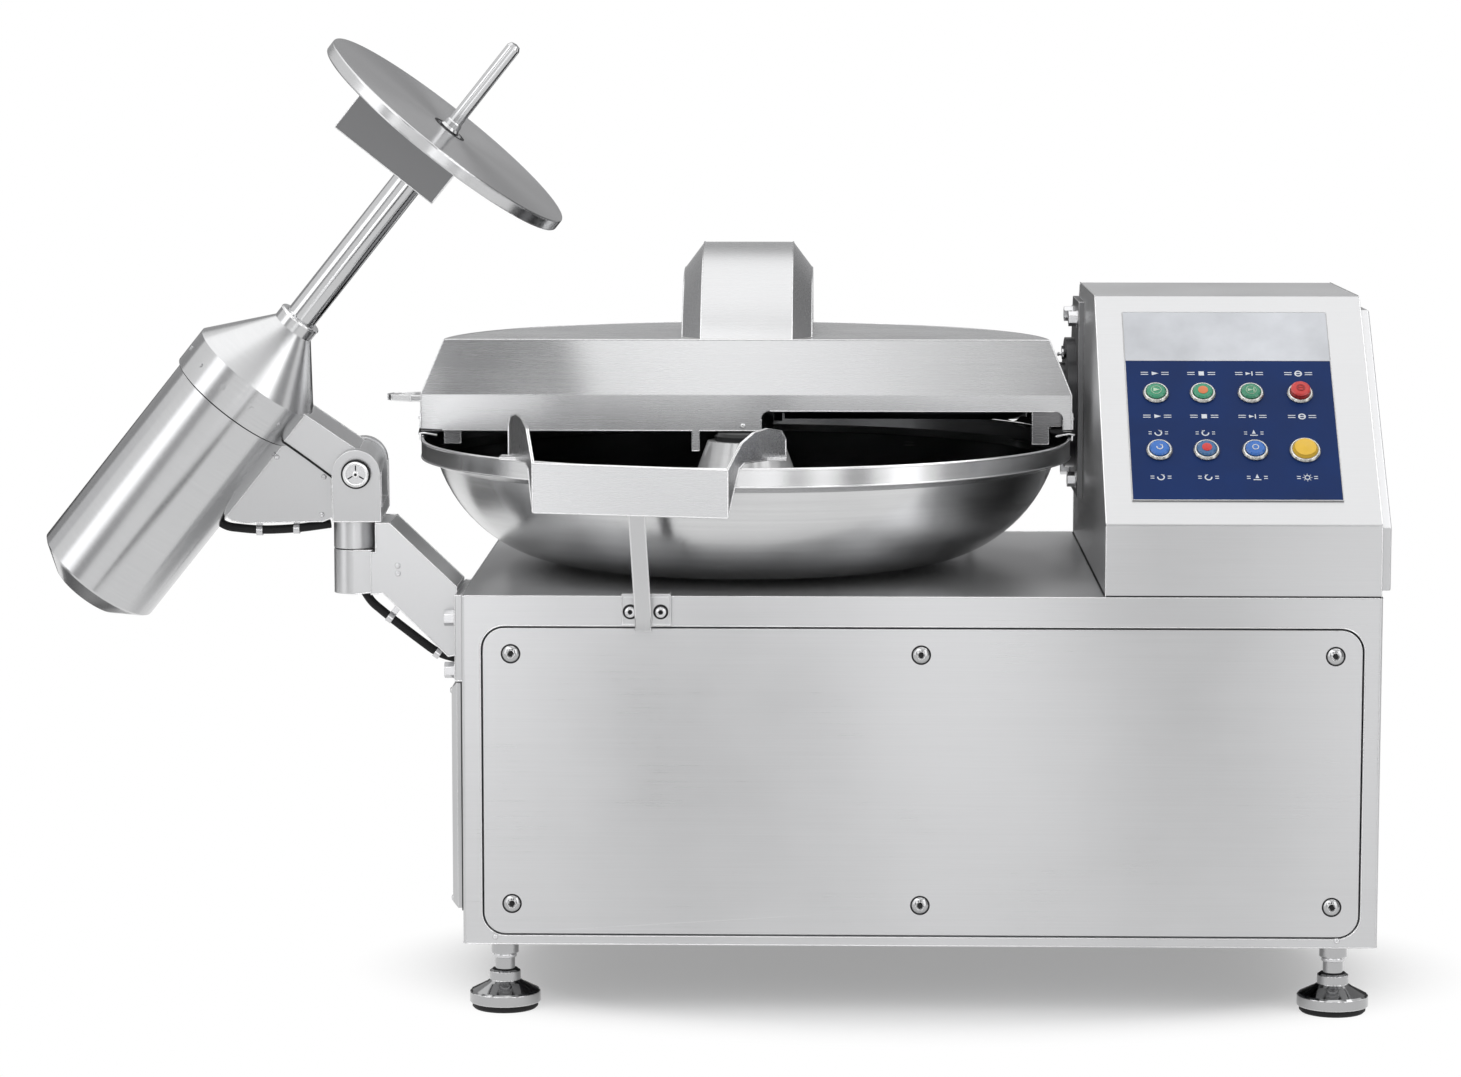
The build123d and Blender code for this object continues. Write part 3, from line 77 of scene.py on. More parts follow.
# ---- material tools ---------------------------------------------------------------------------------------
class Graph:
    """A new material whose nodes are added and linked by short calls."""

    def __init__(self, name):
        self.material = bpy.data.materials.new(name)
        self.material.use_nodes = True
        self.nodes = self.material.node_tree.nodes
        self.links = self.material.node_tree.links
        self.shader = self.nodes["Principled BSDF"]

    def node(self, kind, inputs=None, **settings):
        made = self.nodes.new(kind)
        for key, value in settings.items():
            setattr(made, key, value)
        for key, value in (inputs or {}).items():
            if isinstance(value, bpy.types.NodeSocket):
                self.links.new(value, made.inputs[key])
            else:
                made.inputs[key].default_value = value
        return made

    def to_shader(self, **inputs):
        for key, value in inputs.items():
            name = key.replace("_", " ")
            if isinstance(value, bpy.types.NodeSocket):
                self.links.new(value, self.shader.inputs[name])
            else:
                self.shader.inputs[name].default_value = value

    def place(self):
        return self.node("ShaderNodeTexCoord").outputs["Object"]

    def stretched(self, across, along, grain):
        """Object coordinates scaled finely across the grain and coarsely along it; grain is X, Y or Z."""
        scale = [across] * 3
        scale["XYZ".index(grain)] = along
        return self.node("ShaderNodeMapping", {"Vector": self.place(), "Scale": scale}).outputs[0]

    def about(self, centre, axis):
        """Height along an axis, distance from it, and the unit direction off it, for turned parts."""
        off = self.node("ShaderNodeVectorMath", {0: self.place(), 1: centre}, operation="SUBTRACT").outputs[0]
        high = self.node("ShaderNodeVectorMath", {0: off, 1: axis}, operation="DOT_PRODUCT").outputs["Value"]
        rise = self.node("ShaderNodeVectorMath", {0: axis, "Scale": high}, operation="SCALE").outputs[0]
        out = self.node("ShaderNodeVectorMath", {0: off, 1: rise}, operation="SUBTRACT").outputs[0]
        far = self.node("ShaderNodeVectorMath", {0: out}, operation="LENGTH").outputs["Value"]
        way = self.node("ShaderNodeVectorMath", {0: out}, operation="NORMALIZE").outputs[0]
        return high, far, way

    def noise(self, vector, scale=1.0, detail=4.0, rough=0.6, dims="3D", w=None):
        made = self.node("ShaderNodeTexNoise", {"Vector": vector, "Scale": scale, "Detail": detail,
                                                "Roughness": rough}, noise_dimensions=dims)
        if w is not None:
            self.links.new(w, made.inputs["W"])
        return made.outputs["Fac"]

    def spread(self, value, low, high, start=0.0, stop=1.0):
        return self.node("ShaderNodeMapRange", {"Value": value, "From Min": start, "From Max": stop,
                                                "To Min": low, "To Max": high}).outputs[0]

    def noise_spread(self, value, low, high):
        """Spreads a noise value, which lies mostly between 0.3 and 0.7, from low to high."""
        return self.spread(value, low, high, 0.3, 0.7)

    def maths(self, operation, first, second):
        return self.node("ShaderNodeMath", {0: first, 1: second}, operation=operation).outputs[0]

    def tint(self, value, dark, light):
        ramp = self.node("ShaderNodeMix", data_type="RGBA")
        self.links.new(value, ramp.inputs["Factor"])
        ramp.inputs["A"].default_value = (*dark, 1)
        ramp.inputs["B"].default_value = (*light, 1)
        return ramp.outputs["Result"]

    def blend_colour(self, share, under, over):
        mix = self.node("ShaderNodeMix", data_type="RGBA")
        self.links.new(share, mix.inputs["Factor"])
        self.links.new(under, mix.inputs["A"])
        mix.inputs["B"].default_value = (*over, 1)
        return mix.outputs["Result"]

    def inside_trough(self, high, far, ring, middle, radius, hub):
        """1 on the inner side of a round trough, outside its hub, from height and distance off its axis; it
        masks the painted shade in the bowl.
        """
        out = self.maths("POWER", self.maths("SUBTRACT", far, ring), 2.0)
        up = self.maths("POWER", self.maths("SUBTRACT", high, middle), 2.0)
        depth = self.maths("SQRT", self.maths("ADD", out, up), 0.0)
        near = self.maths("LESS_THAN", depth, radius)
        return self.maths("MULTIPLY", near, self.maths("GREATER_THAN", far, hub))

    def inside_lid(self, far):
        """1 on the inner sides of the half-round lid, from the distance off the bowl's axis; it masks the
        painted shade under the lid.
        """
        split = self.node("ShaderNodeSeparateXYZ", {0: self.place()})
        behind = self.maths("SUBTRACT", split.outputs[1], at(0, BOWL_Y, 0).y)
        within = self.maths("SUBTRACT", COVER_R * MM, far)
        below = self.maths("SUBTRACT", (COVER_Z0 + COVER_H) * MM, split.outputs[2])
        lean = math.atan2(COVER_BEVEL, COVER_H - COVER_WALL_H)
        lift = self.maths("SUBTRACT", split.outputs[2], (COVER_Z0 + COVER_WALL_H) * MM)
        nearest = self.maths("MINIMUM", below, self.maths("MINIMUM", behind, within))
        for reach in (behind, within):
            slanted = self.maths("SUBTRACT", self.maths("MULTIPLY", reach, math.cos(lean)),
                                 self.maths("MULTIPLY", lift, math.sin(lean)))
            nearest = self.maths("MINIMUM", nearest, slanted)
        half_sheet = 1.5 * MM
        return self.maths("GREATER_THAN", nearest, half_sheet)

    def bump(self, height, strength, depth, normal=None):
        made = self.node("ShaderNodeBump", {"Height": height, "Strength": strength, "Distance": depth})
        if normal is not None:
            self.links.new(normal, made.inputs["Normal"])
        return made.outputs[0]

    def soft_edges(self, radius):
        return self.node("ShaderNodeBevel", {"Radius": radius}, samples=4).outputs[0]

    def painted_edge_highlight(self, soft):
        """1 along edges and folds, 0 on open faces, from a rounded normal: the mask of the painted edge
        highlight.
        """
        flat = self.node("ShaderNodeNewGeometry").outputs["Normal"]
        same = self.node("ShaderNodeVectorMath", {0: soft, 1: flat}, operation="DOT_PRODUCT").outputs["Value"]
        edge_cosine, flat_cosine = 0.86, 0.985
        return self.spread(same, 1.0, 0.0, edge_cosine, flat_cosine)

    def lay_grain(self, direction, amount):
        """Spreads reflections across fine scratches that run along a direction of the object's own."""
        turned = self.node("ShaderNodeVectorTransform", {0: direction}, vector_type="VECTOR",
                           convert_from="OBJECT", convert_to="WORLD").outputs[0]
        self.to_shader(Tangent=turned, Anisotropic=amount, Anisotropic_Rotation=0.25)


# The second colour is the pale steel of the painted highlight on edges and folds.
# The third colour is the dark steel of the painted shade inside the bowl's trough and under the lid.
STEEL, PAINTED_EDGE_HIGHLIGHT, PAINTED_INNER_SHADE = (0.56, 0.562, 0.568), (0.90, 0.90, 0.905), (0.21, 0.21, 0.215)
HUB_METALLIC = 0.30


def shade(colour, factor):
    return tuple(min(1.0, channel * factor) for channel in colour)


def finish_metal(graph, grain_value, colour, rough, grain_depth, inner=None, rounded=True, contrast=1.0,
                 matt=None):
    """The part of every metal finish that doesn't depend on which way its grain runs."""
    edge_radius, patch_scale, grain_share = 0.0022, 6.0, 0.6
    patches = graph.noise(graph.place(), scale=patch_scale, detail=3.0, rough=0.5)
    mixed = graph.maths("ADD", graph.maths("MULTIPLY", grain_value, grain_share),
                        graph.maths("MULTIPLY", patches, 1 - grain_share))
    base = graph.tint(graph.noise_spread(mixed, 0, 1), shade(colour, 1 - 0.05 * contrast),
                      shade(colour, 1 + 0.04 * contrast))
    # Painted shade: the inner sides of a trough or lid are darkened towards a dark steel.
    if inner is not None:
        base = graph.blend_colour(inner, base, PAINTED_INNER_SHADE)
    soft = graph.soft_edges(edge_radius) if rounded else None
    # Painted highlight: edges and folds are lightened towards a pale steel.
    if rounded:
        base = graph.blend_colour(graph.painted_edge_highlight(soft), base, PAINTED_EDGE_HIGHLIGHT)
    roughness = graph.noise_spread(mixed, rough * 0.88, rough * 1.12)
    normal = graph.bump(grain_value, 0.10, grain_depth, soft)
    metal = graph.spread(matt, 1.0, HUB_METALLIC) if matt is not None else 1.0
    graph.to_shader(Base_Color=base, Metallic=metal, Roughness=roughness, Normal=normal)
    return graph.material


def brushed(name, grain, colour=STEEL, rough=0.30, across=700.0, along=4.0, depth=0.00003, pull=0.75,
            lid=False):
    """Sheet steel brushed in one direction; on the lid the inner sides get painted shade."""
    graph = Graph(name)
    inner = graph.inside_lid(graph.about(BOWL_CENTRE, Z_AXIS)[1]) if lid else None
    streaks = graph.noise(graph.stretched(across, along, grain), detail=5.0, rough=0.7)
    graph.lay_grain([float(grain == letter) for letter in "XYZ"], pull)
    return finish_metal(graph, streaks, colour, rough, depth, inner=inner)


def turned_steel(name, centre, axis, colour=STEEL, rough=0.26, rings=600.0, along=1.5, depth=0.00006,
                 pull=0.8, trough=None, contrast=1.0):
    """Steel with rings about the part's own axis; a trough gets painted shade inside and is duller on its hub.
    """
    graph = Graph(name)
    high, far, way = graph.about(centre, axis)
    split = graph.node("ShaderNodeSeparateXYZ", {0: way})
    angle_a = graph.maths("MULTIPLY", split.outputs[0], along)
    angle_b = graph.maths("MULTIPLY", graph.maths("ADD", split.outputs[1], split.outputs[2]), along)
    ringed = {0: graph.maths("MULTIPLY", high, rings), 1: graph.maths("MULTIPLY", far, rings), 2: angle_a}
    vector = graph.node("ShaderNodeCombineXYZ", ringed).outputs[0]
    streaks = graph.noise(vector, detail=5.0, rough=0.7, dims="4D", w=angle_b)
    tangent = graph.node("ShaderNodeVectorMath", {0: way, 1: axis}, operation="CROSS_PRODUCT").outputs[0]
    graph.lay_grain(tangent, pull)
    inner = graph.inside_trough(high, far, *trough) if trough else None
    matt = graph.maths("LESS_THAN", far, trough[-1]) if trough else None
    return finish_metal(graph, streaks, colour, rough, depth, inner=inner, rounded=False, contrast=contrast,
                        matt=matt)


def satin(name, colour=STEEL, rough=0.34, grit=900.0):
    """Bead-blasted or hand-finished steel with no direction."""
    graph = Graph(name)
    speckle = graph.noise(graph.place(), scale=grit, detail=3.0, rough=0.6)
    return finish_metal(graph, speckle, colour, rough, 0.00008)


def coated(name, colour, rough, grit=600.0, depth=0.0001, coat=0.0, gleam=0.5):
    """Rubber, plastic or paint: a fine texture with slight colour and gloss changes."""
    graph = Graph(name)
    speckle = graph.noise(graph.place(), scale=grit, detail=3.0, rough=0.6)
    patches = graph.noise(graph.place(), scale=9.0, detail=4.0, rough=0.55)
    edge_radius = 0.0008
    base = graph.tint(graph.noise_spread(patches, 0, 1), shade(colour, 0.86), shade(colour, 1.12))
    roughness = graph.noise_spread(patches, rough * 0.85, rough * 1.15)
    normal = graph.bump(speckle, 0.3, depth, graph.soft_edges(edge_radius))
    graph.to_shader(Base_Color=base, Roughness=roughness, Normal=normal)
    graph.to_shader(Coat_Weight=coat, Specular_IOR_Level=gleam)
    return graph.material


# ---- materials --------------------------------------------------------------------------------------------
Z_AXIS, X_AXIS = Vector((0, 0, 1)), Vector((1, 0, 0))
BOWL_CENTRE, KNIFE_CENTRE = at(BOWL_X, BOWL_Y, 0), at(0, KNIFE_Y, KNIFE_Z)
TUBE_CENTRE = at(*TUBE_POINT)

LOOKS = {
    "cabinet": brushed("cabinet_brushed", "X"),
    "tower": brushed("tower_brushed", "X", rough=0.32),
    "cover": brushed("cover_brushed", "X", rough=0.27),
    "lid": brushed("lid_brushed", "X", rough=0.27, lid=True),
    "upright": brushed("upright_brushed", "Z", rough=0.30),
    "bowl": turned_steel("bowl_turned", BOWL_CENTRE, Z_AXIS, (0.63, 0.632, 0.636), rough=0.25, rings=120.0,
                         along=0.8, contrast=2.2,
                         trough=(TROUGH_RING * MM, TROUGH_MIDDLE * MM, TROUGH_R * MM, HUB_R * MM)),
    "spindle": turned_steel("spindle_turned", BOWL_CENTRE, Z_AXIS, rough=0.22),
    "barrel": turned_steel("barrel_turned", TUBE_CENTRE, TUBE_AXIS, rough=0.19, rings=500.0, pull=0.4),
    "tube": turned_steel("tube_polished", TUBE_CENTRE, TUBE_AXIS, rough=0.13, rings=90.0, pull=0.0,
                         depth=0.000002),
    "disc": turned_steel("disc_turned", TUBE_CENTRE, TUBE_AXIS, rough=0.22, rings=500.0, pull=0.9),
    # Quill, knife housing and knife shaft: steel darkened almost to black, painted shade for their place under
    # the lid.
    "knife_axis_painted_shade": turned_steel("quill_turned_painted_shade", KNIFE_CENTRE, X_AXIS, (0.06, 0.06, 0.062), rough=0.35),
    "satin": satin("satin_steel"),
    # Steel darkened far below bare steel: painted shade on the bearing plate hidden under the lid; the scraper
    # plate and the overlay's thin border take it too.
    "sheet": satin("sheet_steel", (0.18, 0.181, 0.184), rough=0.40),
    "bezel": satin("bezel_steel", (0.40, 0.395, 0.37), rough=0.22, grit=1500.0),
    "polished": satin("polished_steel", (0.44, 0.442, 0.446), rough=0.10, grit=1500.0),
    "machined": satin("machined_steel", (0.62, 0.62, 0.63), rough=0.20, grit=1500.0),
    # Steel lightened beyond bare steel: a painted highlight on fold beads, rim beads, clips, collars and the
    # tilt pin's face.
    "bright": satin("bright_trim_painted_highlight", (0.80, 0.80, 0.805), rough=0.16, grit=1500.0),
    "weld": satin("weld_bead", (0.50, 0.495, 0.48), rough=0.30, grit=500.0),
    "blade": brushed("blade_ground", "Z", (0.64, 0.645, 0.65), rough=0.18, across=800.0, along=20.0),
    "primer": coated("frame_primer", (0.34, 0.35, 0.37), 0.5),
    "cast": coated("cast_paint", (0.26, 0.27, 0.29), 0.45, grit=300.0, depth=0.0004),
    "bronze": satin("gear_bronze", (0.62, 0.43, 0.20), rough=0.3),
    # Near-black rubber for real rubber parts; the same look also paints shade on socket floors, rings round
    # heads, a slot, a groove and a gap.
    "rubber_and_painted_shade": coated("moulded_rubber", (0.014, 0.014, 0.015), 0.62, grit=500.0, depth=0.0003, gleam=0.3),
    "black_cap": coated("black_cap", (0.012, 0.012, 0.013), 0.38, gleam=0.3),
    "blue_film": coated("blue_film", (0.004, 0.026, 0.125), 0.40, grit=1200.0, depth=0.00003, gleam=0.15),
    "pale_film": coated("pale_film", (0.74, 0.76, 0.80), 0.36, grit=1200.0, depth=0.00003, gleam=0.3),
    "print_white": coated("print_white", (0.80, 0.84, 0.90), 0.5, grit=1500.0, depth=0.00002),
    "green": coated("green_cap", (0.02, 0.30, 0.15), 0.25, depth=0.00003, coat=0.3),
    "green_mark": coated("green_mark", (0.55, 0.75, 0.55), 0.35, depth=0.00002),
    "orange_mark": coated("orange_mark", (0.75, 0.22, 0.08), 0.35, depth=0.00002),
    "red": coated("red_cap", (0.68, 0.022, 0.020), 0.30, depth=0.00003, coat=0.2),
    "dark_red": coated("dark_red_mark", (0.36, 0.008, 0.008), 0.35, depth=0.00002),
    "blue": coated("blue_cap", (0.005, 0.16, 0.62), 0.25, depth=0.00003, coat=0.3),
    "deep_blue": coated("deep_blue_cap", (0.02, 0.13, 0.33), 0.25, depth=0.00003, coat=0.3),
    "yellow": coated("yellow_lens", (0.90, 0.55, 0.03), 0.30, depth=0.00003, coat=0.2),
}

NODE_LOOK = {
    "cabinet_shell": "cabinet", "front_panel": "cabinet", "rear_panel": "cabinet", "base_frame": "primer",
    "panel_screws": "polished", "left_side_cover": "upright", "right_side_cover": "upright",
    "levelling_feet": "polished", "foot_pads": "rubber_and_painted_shade", "tower_shell": "tower", "tower_door": "upright",
    "control_plate": "blue_film", "display_window": "pale_film", "button_bezels": "bezel",
    "power_lamp": "yellow", "bearing_plate": "sheet", "knife_housing": "knife_axis_painted_shade",
    "shaft_bearings": "machined", "knife_shaft": "knife_axis_painted_shade", "knife_set": "blade", "knife_pulley": "cast",
    "knife_belts": "rubber_and_painted_shade", "knife_motor": "cast", "motor_pulley": "cast", "bowl": "bowl",
    "bowl_spindle": "spindle", "hub_cap": "black_cap", "spindle_housing": "satin", "worm_wheel": "bronze",
    "worm_shaft": "machined", "gearbox_case": "cast", "bowl_motor": "cast", "cover_shell": "lid",
    "knife_hood": "cover", "cover_seal": "rubber_and_painted_shade", "hinge_bracket": "satin", "chute": "cover",
    "chute_post": "upright", "arm_bracket": "satin", "hex_bolts": "machined", "swivel_yoke": "satin",
    "tilt_pin": "machined", "arm_carrier": "satin", "drive_barrel": "barrel", "barrel_cone": "barrel",
    "discharge_tube": "tube", "gearmotor": "cast", "scraper_plate": "sheet", "discharge_shaft": "machined",
    "discharge_disc": "disc", "handle_rod": "tube", "gusset_cable": "rubber_and_painted_shade", "arm_cable": "rubber_and_painted_shade",
    "run_button": "green", "stop_button": "green", "jog_button": "green", "emergency_button": "red",
    "forward_button": "blue", "reverse_button": "deep_blue", "discharge_button": "blue",
}
for node_name, look in NODE_LOOK.items():
    node_mesh = NODES[node_name].data
    node_mesh.materials.clear()
    node_mesh.materials.append(LOOKS[look])


# ---- mesh tools -------------------------------------------------------------------------------------------
TO_ROW = Matrix.Scale(MM, 4) @ Matrix.Translation(-ROW_ORIGIN)
FACING_FRONT = Matrix.Rotation(math.pi / 2, 4, "X")
FACING_BACK = Matrix.Rotation(-math.pi / 2, 4, "X")
FACING_LEFT = Matrix.Rotation(-math.pi / 2, 4, "Y")
FACING_RIGHT = Matrix.Rotation(math.pi / 2, 4, "Y")


def spot(x, y, z, facing=Matrix.Identity(4)):
    """A place in the working frame whose +Z looks the way that facing turns it."""
    return Matrix.Translation((x, y, z)) @ facing


class Shape:
    """Faces gathered in working-frame millimetres and finished as one piece."""

    def __init__(self):
        self.mesh = bmesh.new()

    def loops(self, rings, closed=True):
        """Faces between rings of equally many points; with closed, the last point joins the first."""
        made = [[self.mesh.verts.new(point) for point in ring] for ring in rings]
        count = len(made[0])
        for low, high in zip(made, made[1:]):
            for i in range(count if closed else count - 1):
                j = (i + 1) % count
                self.mesh.faces.new((low[i], low[j], high[j], high[i]))
        return made

    def turned(self, place, profile, steps=32):
        """A surface of revolution about the place's Z from (radius, height) points."""
        rings = []
        for radius, height in profile:
            turns = [2 * math.pi * i / steps for i in range(steps)]
            points = [Vector((radius * math.cos(t), radius * math.sin(t), height)) for t in turns]
            rings.append([place @ point for point in points])
        self.loops(rings)

    def prism(self, place, outline, low, high):
        """A flat outline of (x, y) points, thick from low to high along the place's Z."""
        bottom, top = self.loops([[place @ Vector((x, y, z)) for x, y in outline] for z in (low, high)])
        self.mesh.faces.new(top)
        self.mesh.faces.new(list(reversed(bottom)))

    def bar(self, place, x0, x1, y0, y1, low, high):
        self.prism(place, [(x0, y0), (x1, y0), (x1, y1), (x0, y1)], low, high)

    def bead(self, points, radius, ripple=0.0, sides=8):
        """A round bead along points; ripple makes it swell and thin like a weld."""
        points = [Vector(point) for point in points]
        rings = []
        for i, point in enumerate(points):
            ahead = points[min(i + 1, len(points) - 1)] - points[max(i - 1, 0)]
            turn = ahead.to_track_quat("Z", "Y")
            size = radius * (1 + ripple * math.sin(2.4 * i))
            angles = [2 * math.pi * k / sides for k in range(sides)]
            rings.append([point + turn @ Vector((size * math.cos(t), size * math.sin(t), 0)) for t in angles])
        made = self.loops(rings)
        self.mesh.faces.new(list(reversed(made[0])))
        self.mesh.faces.new(made[-1])

    def weld(self, start, stop, radius=2.0, step=3.0):
        """A rippled weld bead between two points."""
        start, stop = Vector(start), Vector(stop)
        count = max(2, int((stop - start).length / step))
        self.bead([start.lerp(stop, i / count) for i in range(count + 1)], radius, 0.22)

    def button_head(self, place, radius, height):
        """A domed screw head with a recess for the driver."""
        shares = ((0, 0.35), (0.40, 0.35), (0.42, 1), (0.72, 0.88), (0.93, 0.5), (1, 0.2), (1, 0))
        self.turned(place, [(out * radius, up * height) for out, up in shares], 24)

    def finish(self, name, look, body, slot, crease=38):
        bmesh.ops.remove_doubles(self.mesh, verts=self.mesh.verts, dist=0.01)
        bmesh.ops.recalc_face_normals(self.mesh, faces=self.mesh.faces)
        self.mesh.transform(TO_ROW)
        data = bpy.data.meshes.new(name)
        self.mesh.to_mesh(data)
        self.mesh.free()
        for face in data.polygons:
            face.use_smooth = True
        data.set_sharp_from_angle(angle=math.radians(crease))
        data.materials.append(LOOKS[look])
        piece = bpy.data.objects.new(name, data)
        bpy.context.scene.collection.objects.link(piece)
        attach(piece, body)
        return piece


def arc(centre, radius, start, stop, steps):
    """Points on an arc in the XY plane, angles in degrees."""
    turns = [math.radians(start + (stop - start) * i / steps) for i in range(steps + 1)]
    return [(centre[0] + radius * math.cos(t), centre[1] + radius * math.sin(t)) for t in turns]


def fold_lines(node_name, body, slot, radius=1.1, least=math.radians(24), shortest=4.0):
    """Rounds the folds and cut edges of one sheet part with fine beads; their pale colour adds a painted
    highlight to the light the rounding catches.
    """
    sheet = bmesh.new()
    sheet.from_mesh(NODES[node_name].data)
    bmesh.ops.remove_doubles(sheet, verts=sheet.verts, dist=0.02 * MM)
    to_world = NODES[node_name].matrix_world
    back = TO_ROW.inverted()
    shape = Shape()
    for edge in sheet.edges:
        if len(edge.link_faces) != 2 or edge.calc_length() < shortest * MM:
            continue
        if edge.calc_face_angle_signed(0.0) < least:
            continue
        shape.bead([back @ to_world @ vertex.co for vertex in edge.verts], radius, sides=6)
    sheet.free()
    shape.finish(node_name + "_folds", "bright", body, slot, crease=70)


# ---- knife cover's trim -----------------------------------------------------------------------------------
def hood_weld():
    """Bead along the foot of the hood's front, its two bevels and its sides."""
    top, half, flat = COVER_Z0 + COVER_H, 110.0, 77.0
    front, shoulder, side_end = 496.7, 547.2, 935.0
    shape = Shape()
    shape.weld((BOWL_X - flat, front, top), (BOWL_X + flat, front, top), 1.5)
    for side in (-1, 1):
        shape.weld((BOWL_X + side * flat, front, top), (BOWL_X + side * half, shoulder, top), 1.5)
        shape.weld((BOWL_X + side * half, shoulder, top), (BOWL_X + side * half, side_end, top), 1.5)
    shape.finish("hood_weld", "weld", "cover", "cover_steel")


def cover_trim():
    """Rubber lips and bright screwed clips at the lid's two lower corners, and the small front screw."""
    lips, clips = Shape(), Shape()
    clip_low, clip_high, clip_near, clip_far = COVER_Z0 - 16, COVER_Z0 + 30, BOWL_Y + 2, BOWL_Y + 16
    for side in (-1, 1):
        edge = BOWL_X + side * COVER_R
        lips.prism(spot(0, BOWL_Y - 3, 0, FACING_FRONT),
                   [(edge + side * 3, COVER_Z0 + 3), (edge - side * 36, COVER_Z0 + 1),
                    (edge - side * 34, COVER_Z0 - 3), (edge - side * 8, COVER_Z0 - 5),
                    (edge + side * 5, COVER_Z0 - 7)], -40, -2)
        wire = ((-5, -2, -6), (4, -4, -4), (16, -5, -6), (27, -6, -8))
        clips.bead([(edge - side * inward, BOWL_Y + y, COVER_Z0 + z) for inward, y, z in wire], 1.6)
        clips.bar(spot(edge + side * 1.5, 0, 0, FACING_RIGHT), -clip_low, -clip_high, clip_near, clip_far,
                  -1.5, 1.5)
        outward = FACING_RIGHT if side > 0 else FACING_LEFT
        clips.button_head(spot(edge + side * 3, BOWL_Y + 9, COVER_Z0 + 20, outward), 3.2, 2.0)
    lips.finish("cover_corner_lips", "rubber_and_painted_shade", "cover", "seal_rubber")
    clips.button_head(spot(BOWL_X - 5, BOWL_Y, COVER_Z0 + 8, FACING_FRONT), 4.5, 2.2)
    clips.finish("cover_clips", "bright", "cover", "machined_steel")


# ---- bowl, chute and cabinet trim -------------------------------------------------------------------------
def bowl_seam():
    """Fine bead where the rim band meets the trough, and the rolled lip on the rim."""
    shape = Shape()
    place, low = spot(BOWL_X, BOWL_Y, 0), RIM - BAND_H
    shape.turned(place, [(BOWL_R - 1, low + 1.6), (BOWL_R + 0.9, low + 1.2), (BOWL_R + 1.2, low),
                         (BOWL_R + 0.6, low - 1.4), (BOWL_R - 2, low - 1.8)], 160)
    shape.turned(place, [(BOWL_R - 0.5, RIM - 3.4), (BOWL_R + 1.0, RIM - 2.6), (BOWL_R + 1.2, RIM - 1),
                         (BOWL_R, RIM + 0.7), (BOWL_R - 2, RIM + 1), (BOWL_R - 4, RIM + 0.6)], 160)
    shape.finish("bowl_rim_beads", "bright", "bowl_body", "bowl_steel")


def chute_trim():
    """Corner welds and the rounded top hems of the chute."""
    edge_y, left, right = -113.5, -603.0, -301.0
    left_low, left_high, right_low, right_high = 821, 897, 813, 887
    welds, hems = Shape(), Shape()
    for x, low, high in ((left, left_low, left_high), (right, right_low, right_high)):
        welds.weld((x, edge_y, low + 2), (x, edge_y, high - 2), 1.8)
    welds.finish("chute_welds", "weld", "machine", "cover_steel")
    hems.bead([(left + 2, edge_y, left_high), (right - 2, edge_y, right_high)], 2.0)
    hems.bead([(left + 2, edge_y, left_low), (right - 2, edge_y, right_low)], 1.8)
    hems.finish("chute_hems", "bright", "machine", "cover_steel")


def chute_support():
    """The chute's leaning strap with its bracket, hook and two socket screws, in place of the plain solid;
    dark socket floors and dark rings round the screw heads are painted shade.
    """
    shape, screws, dark = Shape(), Shape(), Shape()
    front, high_front, thick, half = -18.0, -112.0, 6.0, 12.5
    low_x, high_x, plate_front, plate_x, plate_z = -436.5, -442.0, -12, (-470, -394), (DECK - 44, DECK + 5)
    path = ((front, FOOT_H + 505, low_x), (front, DECK - 32, low_x), (high_front, FOOT_H + 698, high_x),
            (high_front, FOOT_H + 765, high_x))
    rings = []
    for y, z, x in path:
        rings.append([Vector((x + side * half, y + back * thick, z))
                      for side, back in ((-1, 0), (1, 0), (1, 1), (-1, 1))])
    made = shape.loops(rings)
    shape.mesh.faces.new(list(reversed(made[0])))
    shape.mesh.faces.new(made[-1])
    for side in (-1, 1):
        shape.bead([Vector((x + side * half, y, z)) for y, z, x in path], 0.9, sides=6)
    hook_seat, hook_back = DECK + 0.3, 26
    shape.bar(spot(0, 0, 0), *plate_x, plate_front, -0.5, plate_z[0], hook_seat)
    shape.bar(spot(0, 0, 0), *plate_x, plate_front, hook_back, hook_seat, plate_z[1])
    for x in plate_x:
        shape.bead([(x, plate_front, z) for z in plate_z], 1.0, sides=6)
    for z in plate_z:
        shape.bead([(x, plate_front, z) for x in plate_x], 1.0, sides=6)
    for x in (-457.0, -409.0):
        place = spot(x, plate_front, DECK - 23, FACING_FRONT)
        screws.turned(place, [(3.6, 2.4), (4.0, 6.8), (7.6, 6.2), (8.8, 4.6), (8.9, 1.4)], 32)
        # Painted shade: a dark floor in each screw's socket.
        dark.turned(place, [(0, 2.6), (3.8, 2.6)], 6)
        # Painted shade: a dark ring round the foot of each screw head.
        dark.turned(place, [(8.9, 1.3), (11.6, 1.2), (12.0, 0)], 32)
    piece = shape.finish("chute_support", "upright", "machine", "cover_steel")
    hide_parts("chute_post")
    screws.finish("chute_support_screws", "machined", "machine", "machined_steel")
    dark.finish("chute_support_socket_shade", "rubber_and_painted_shade", "machine", "seal_rubber")


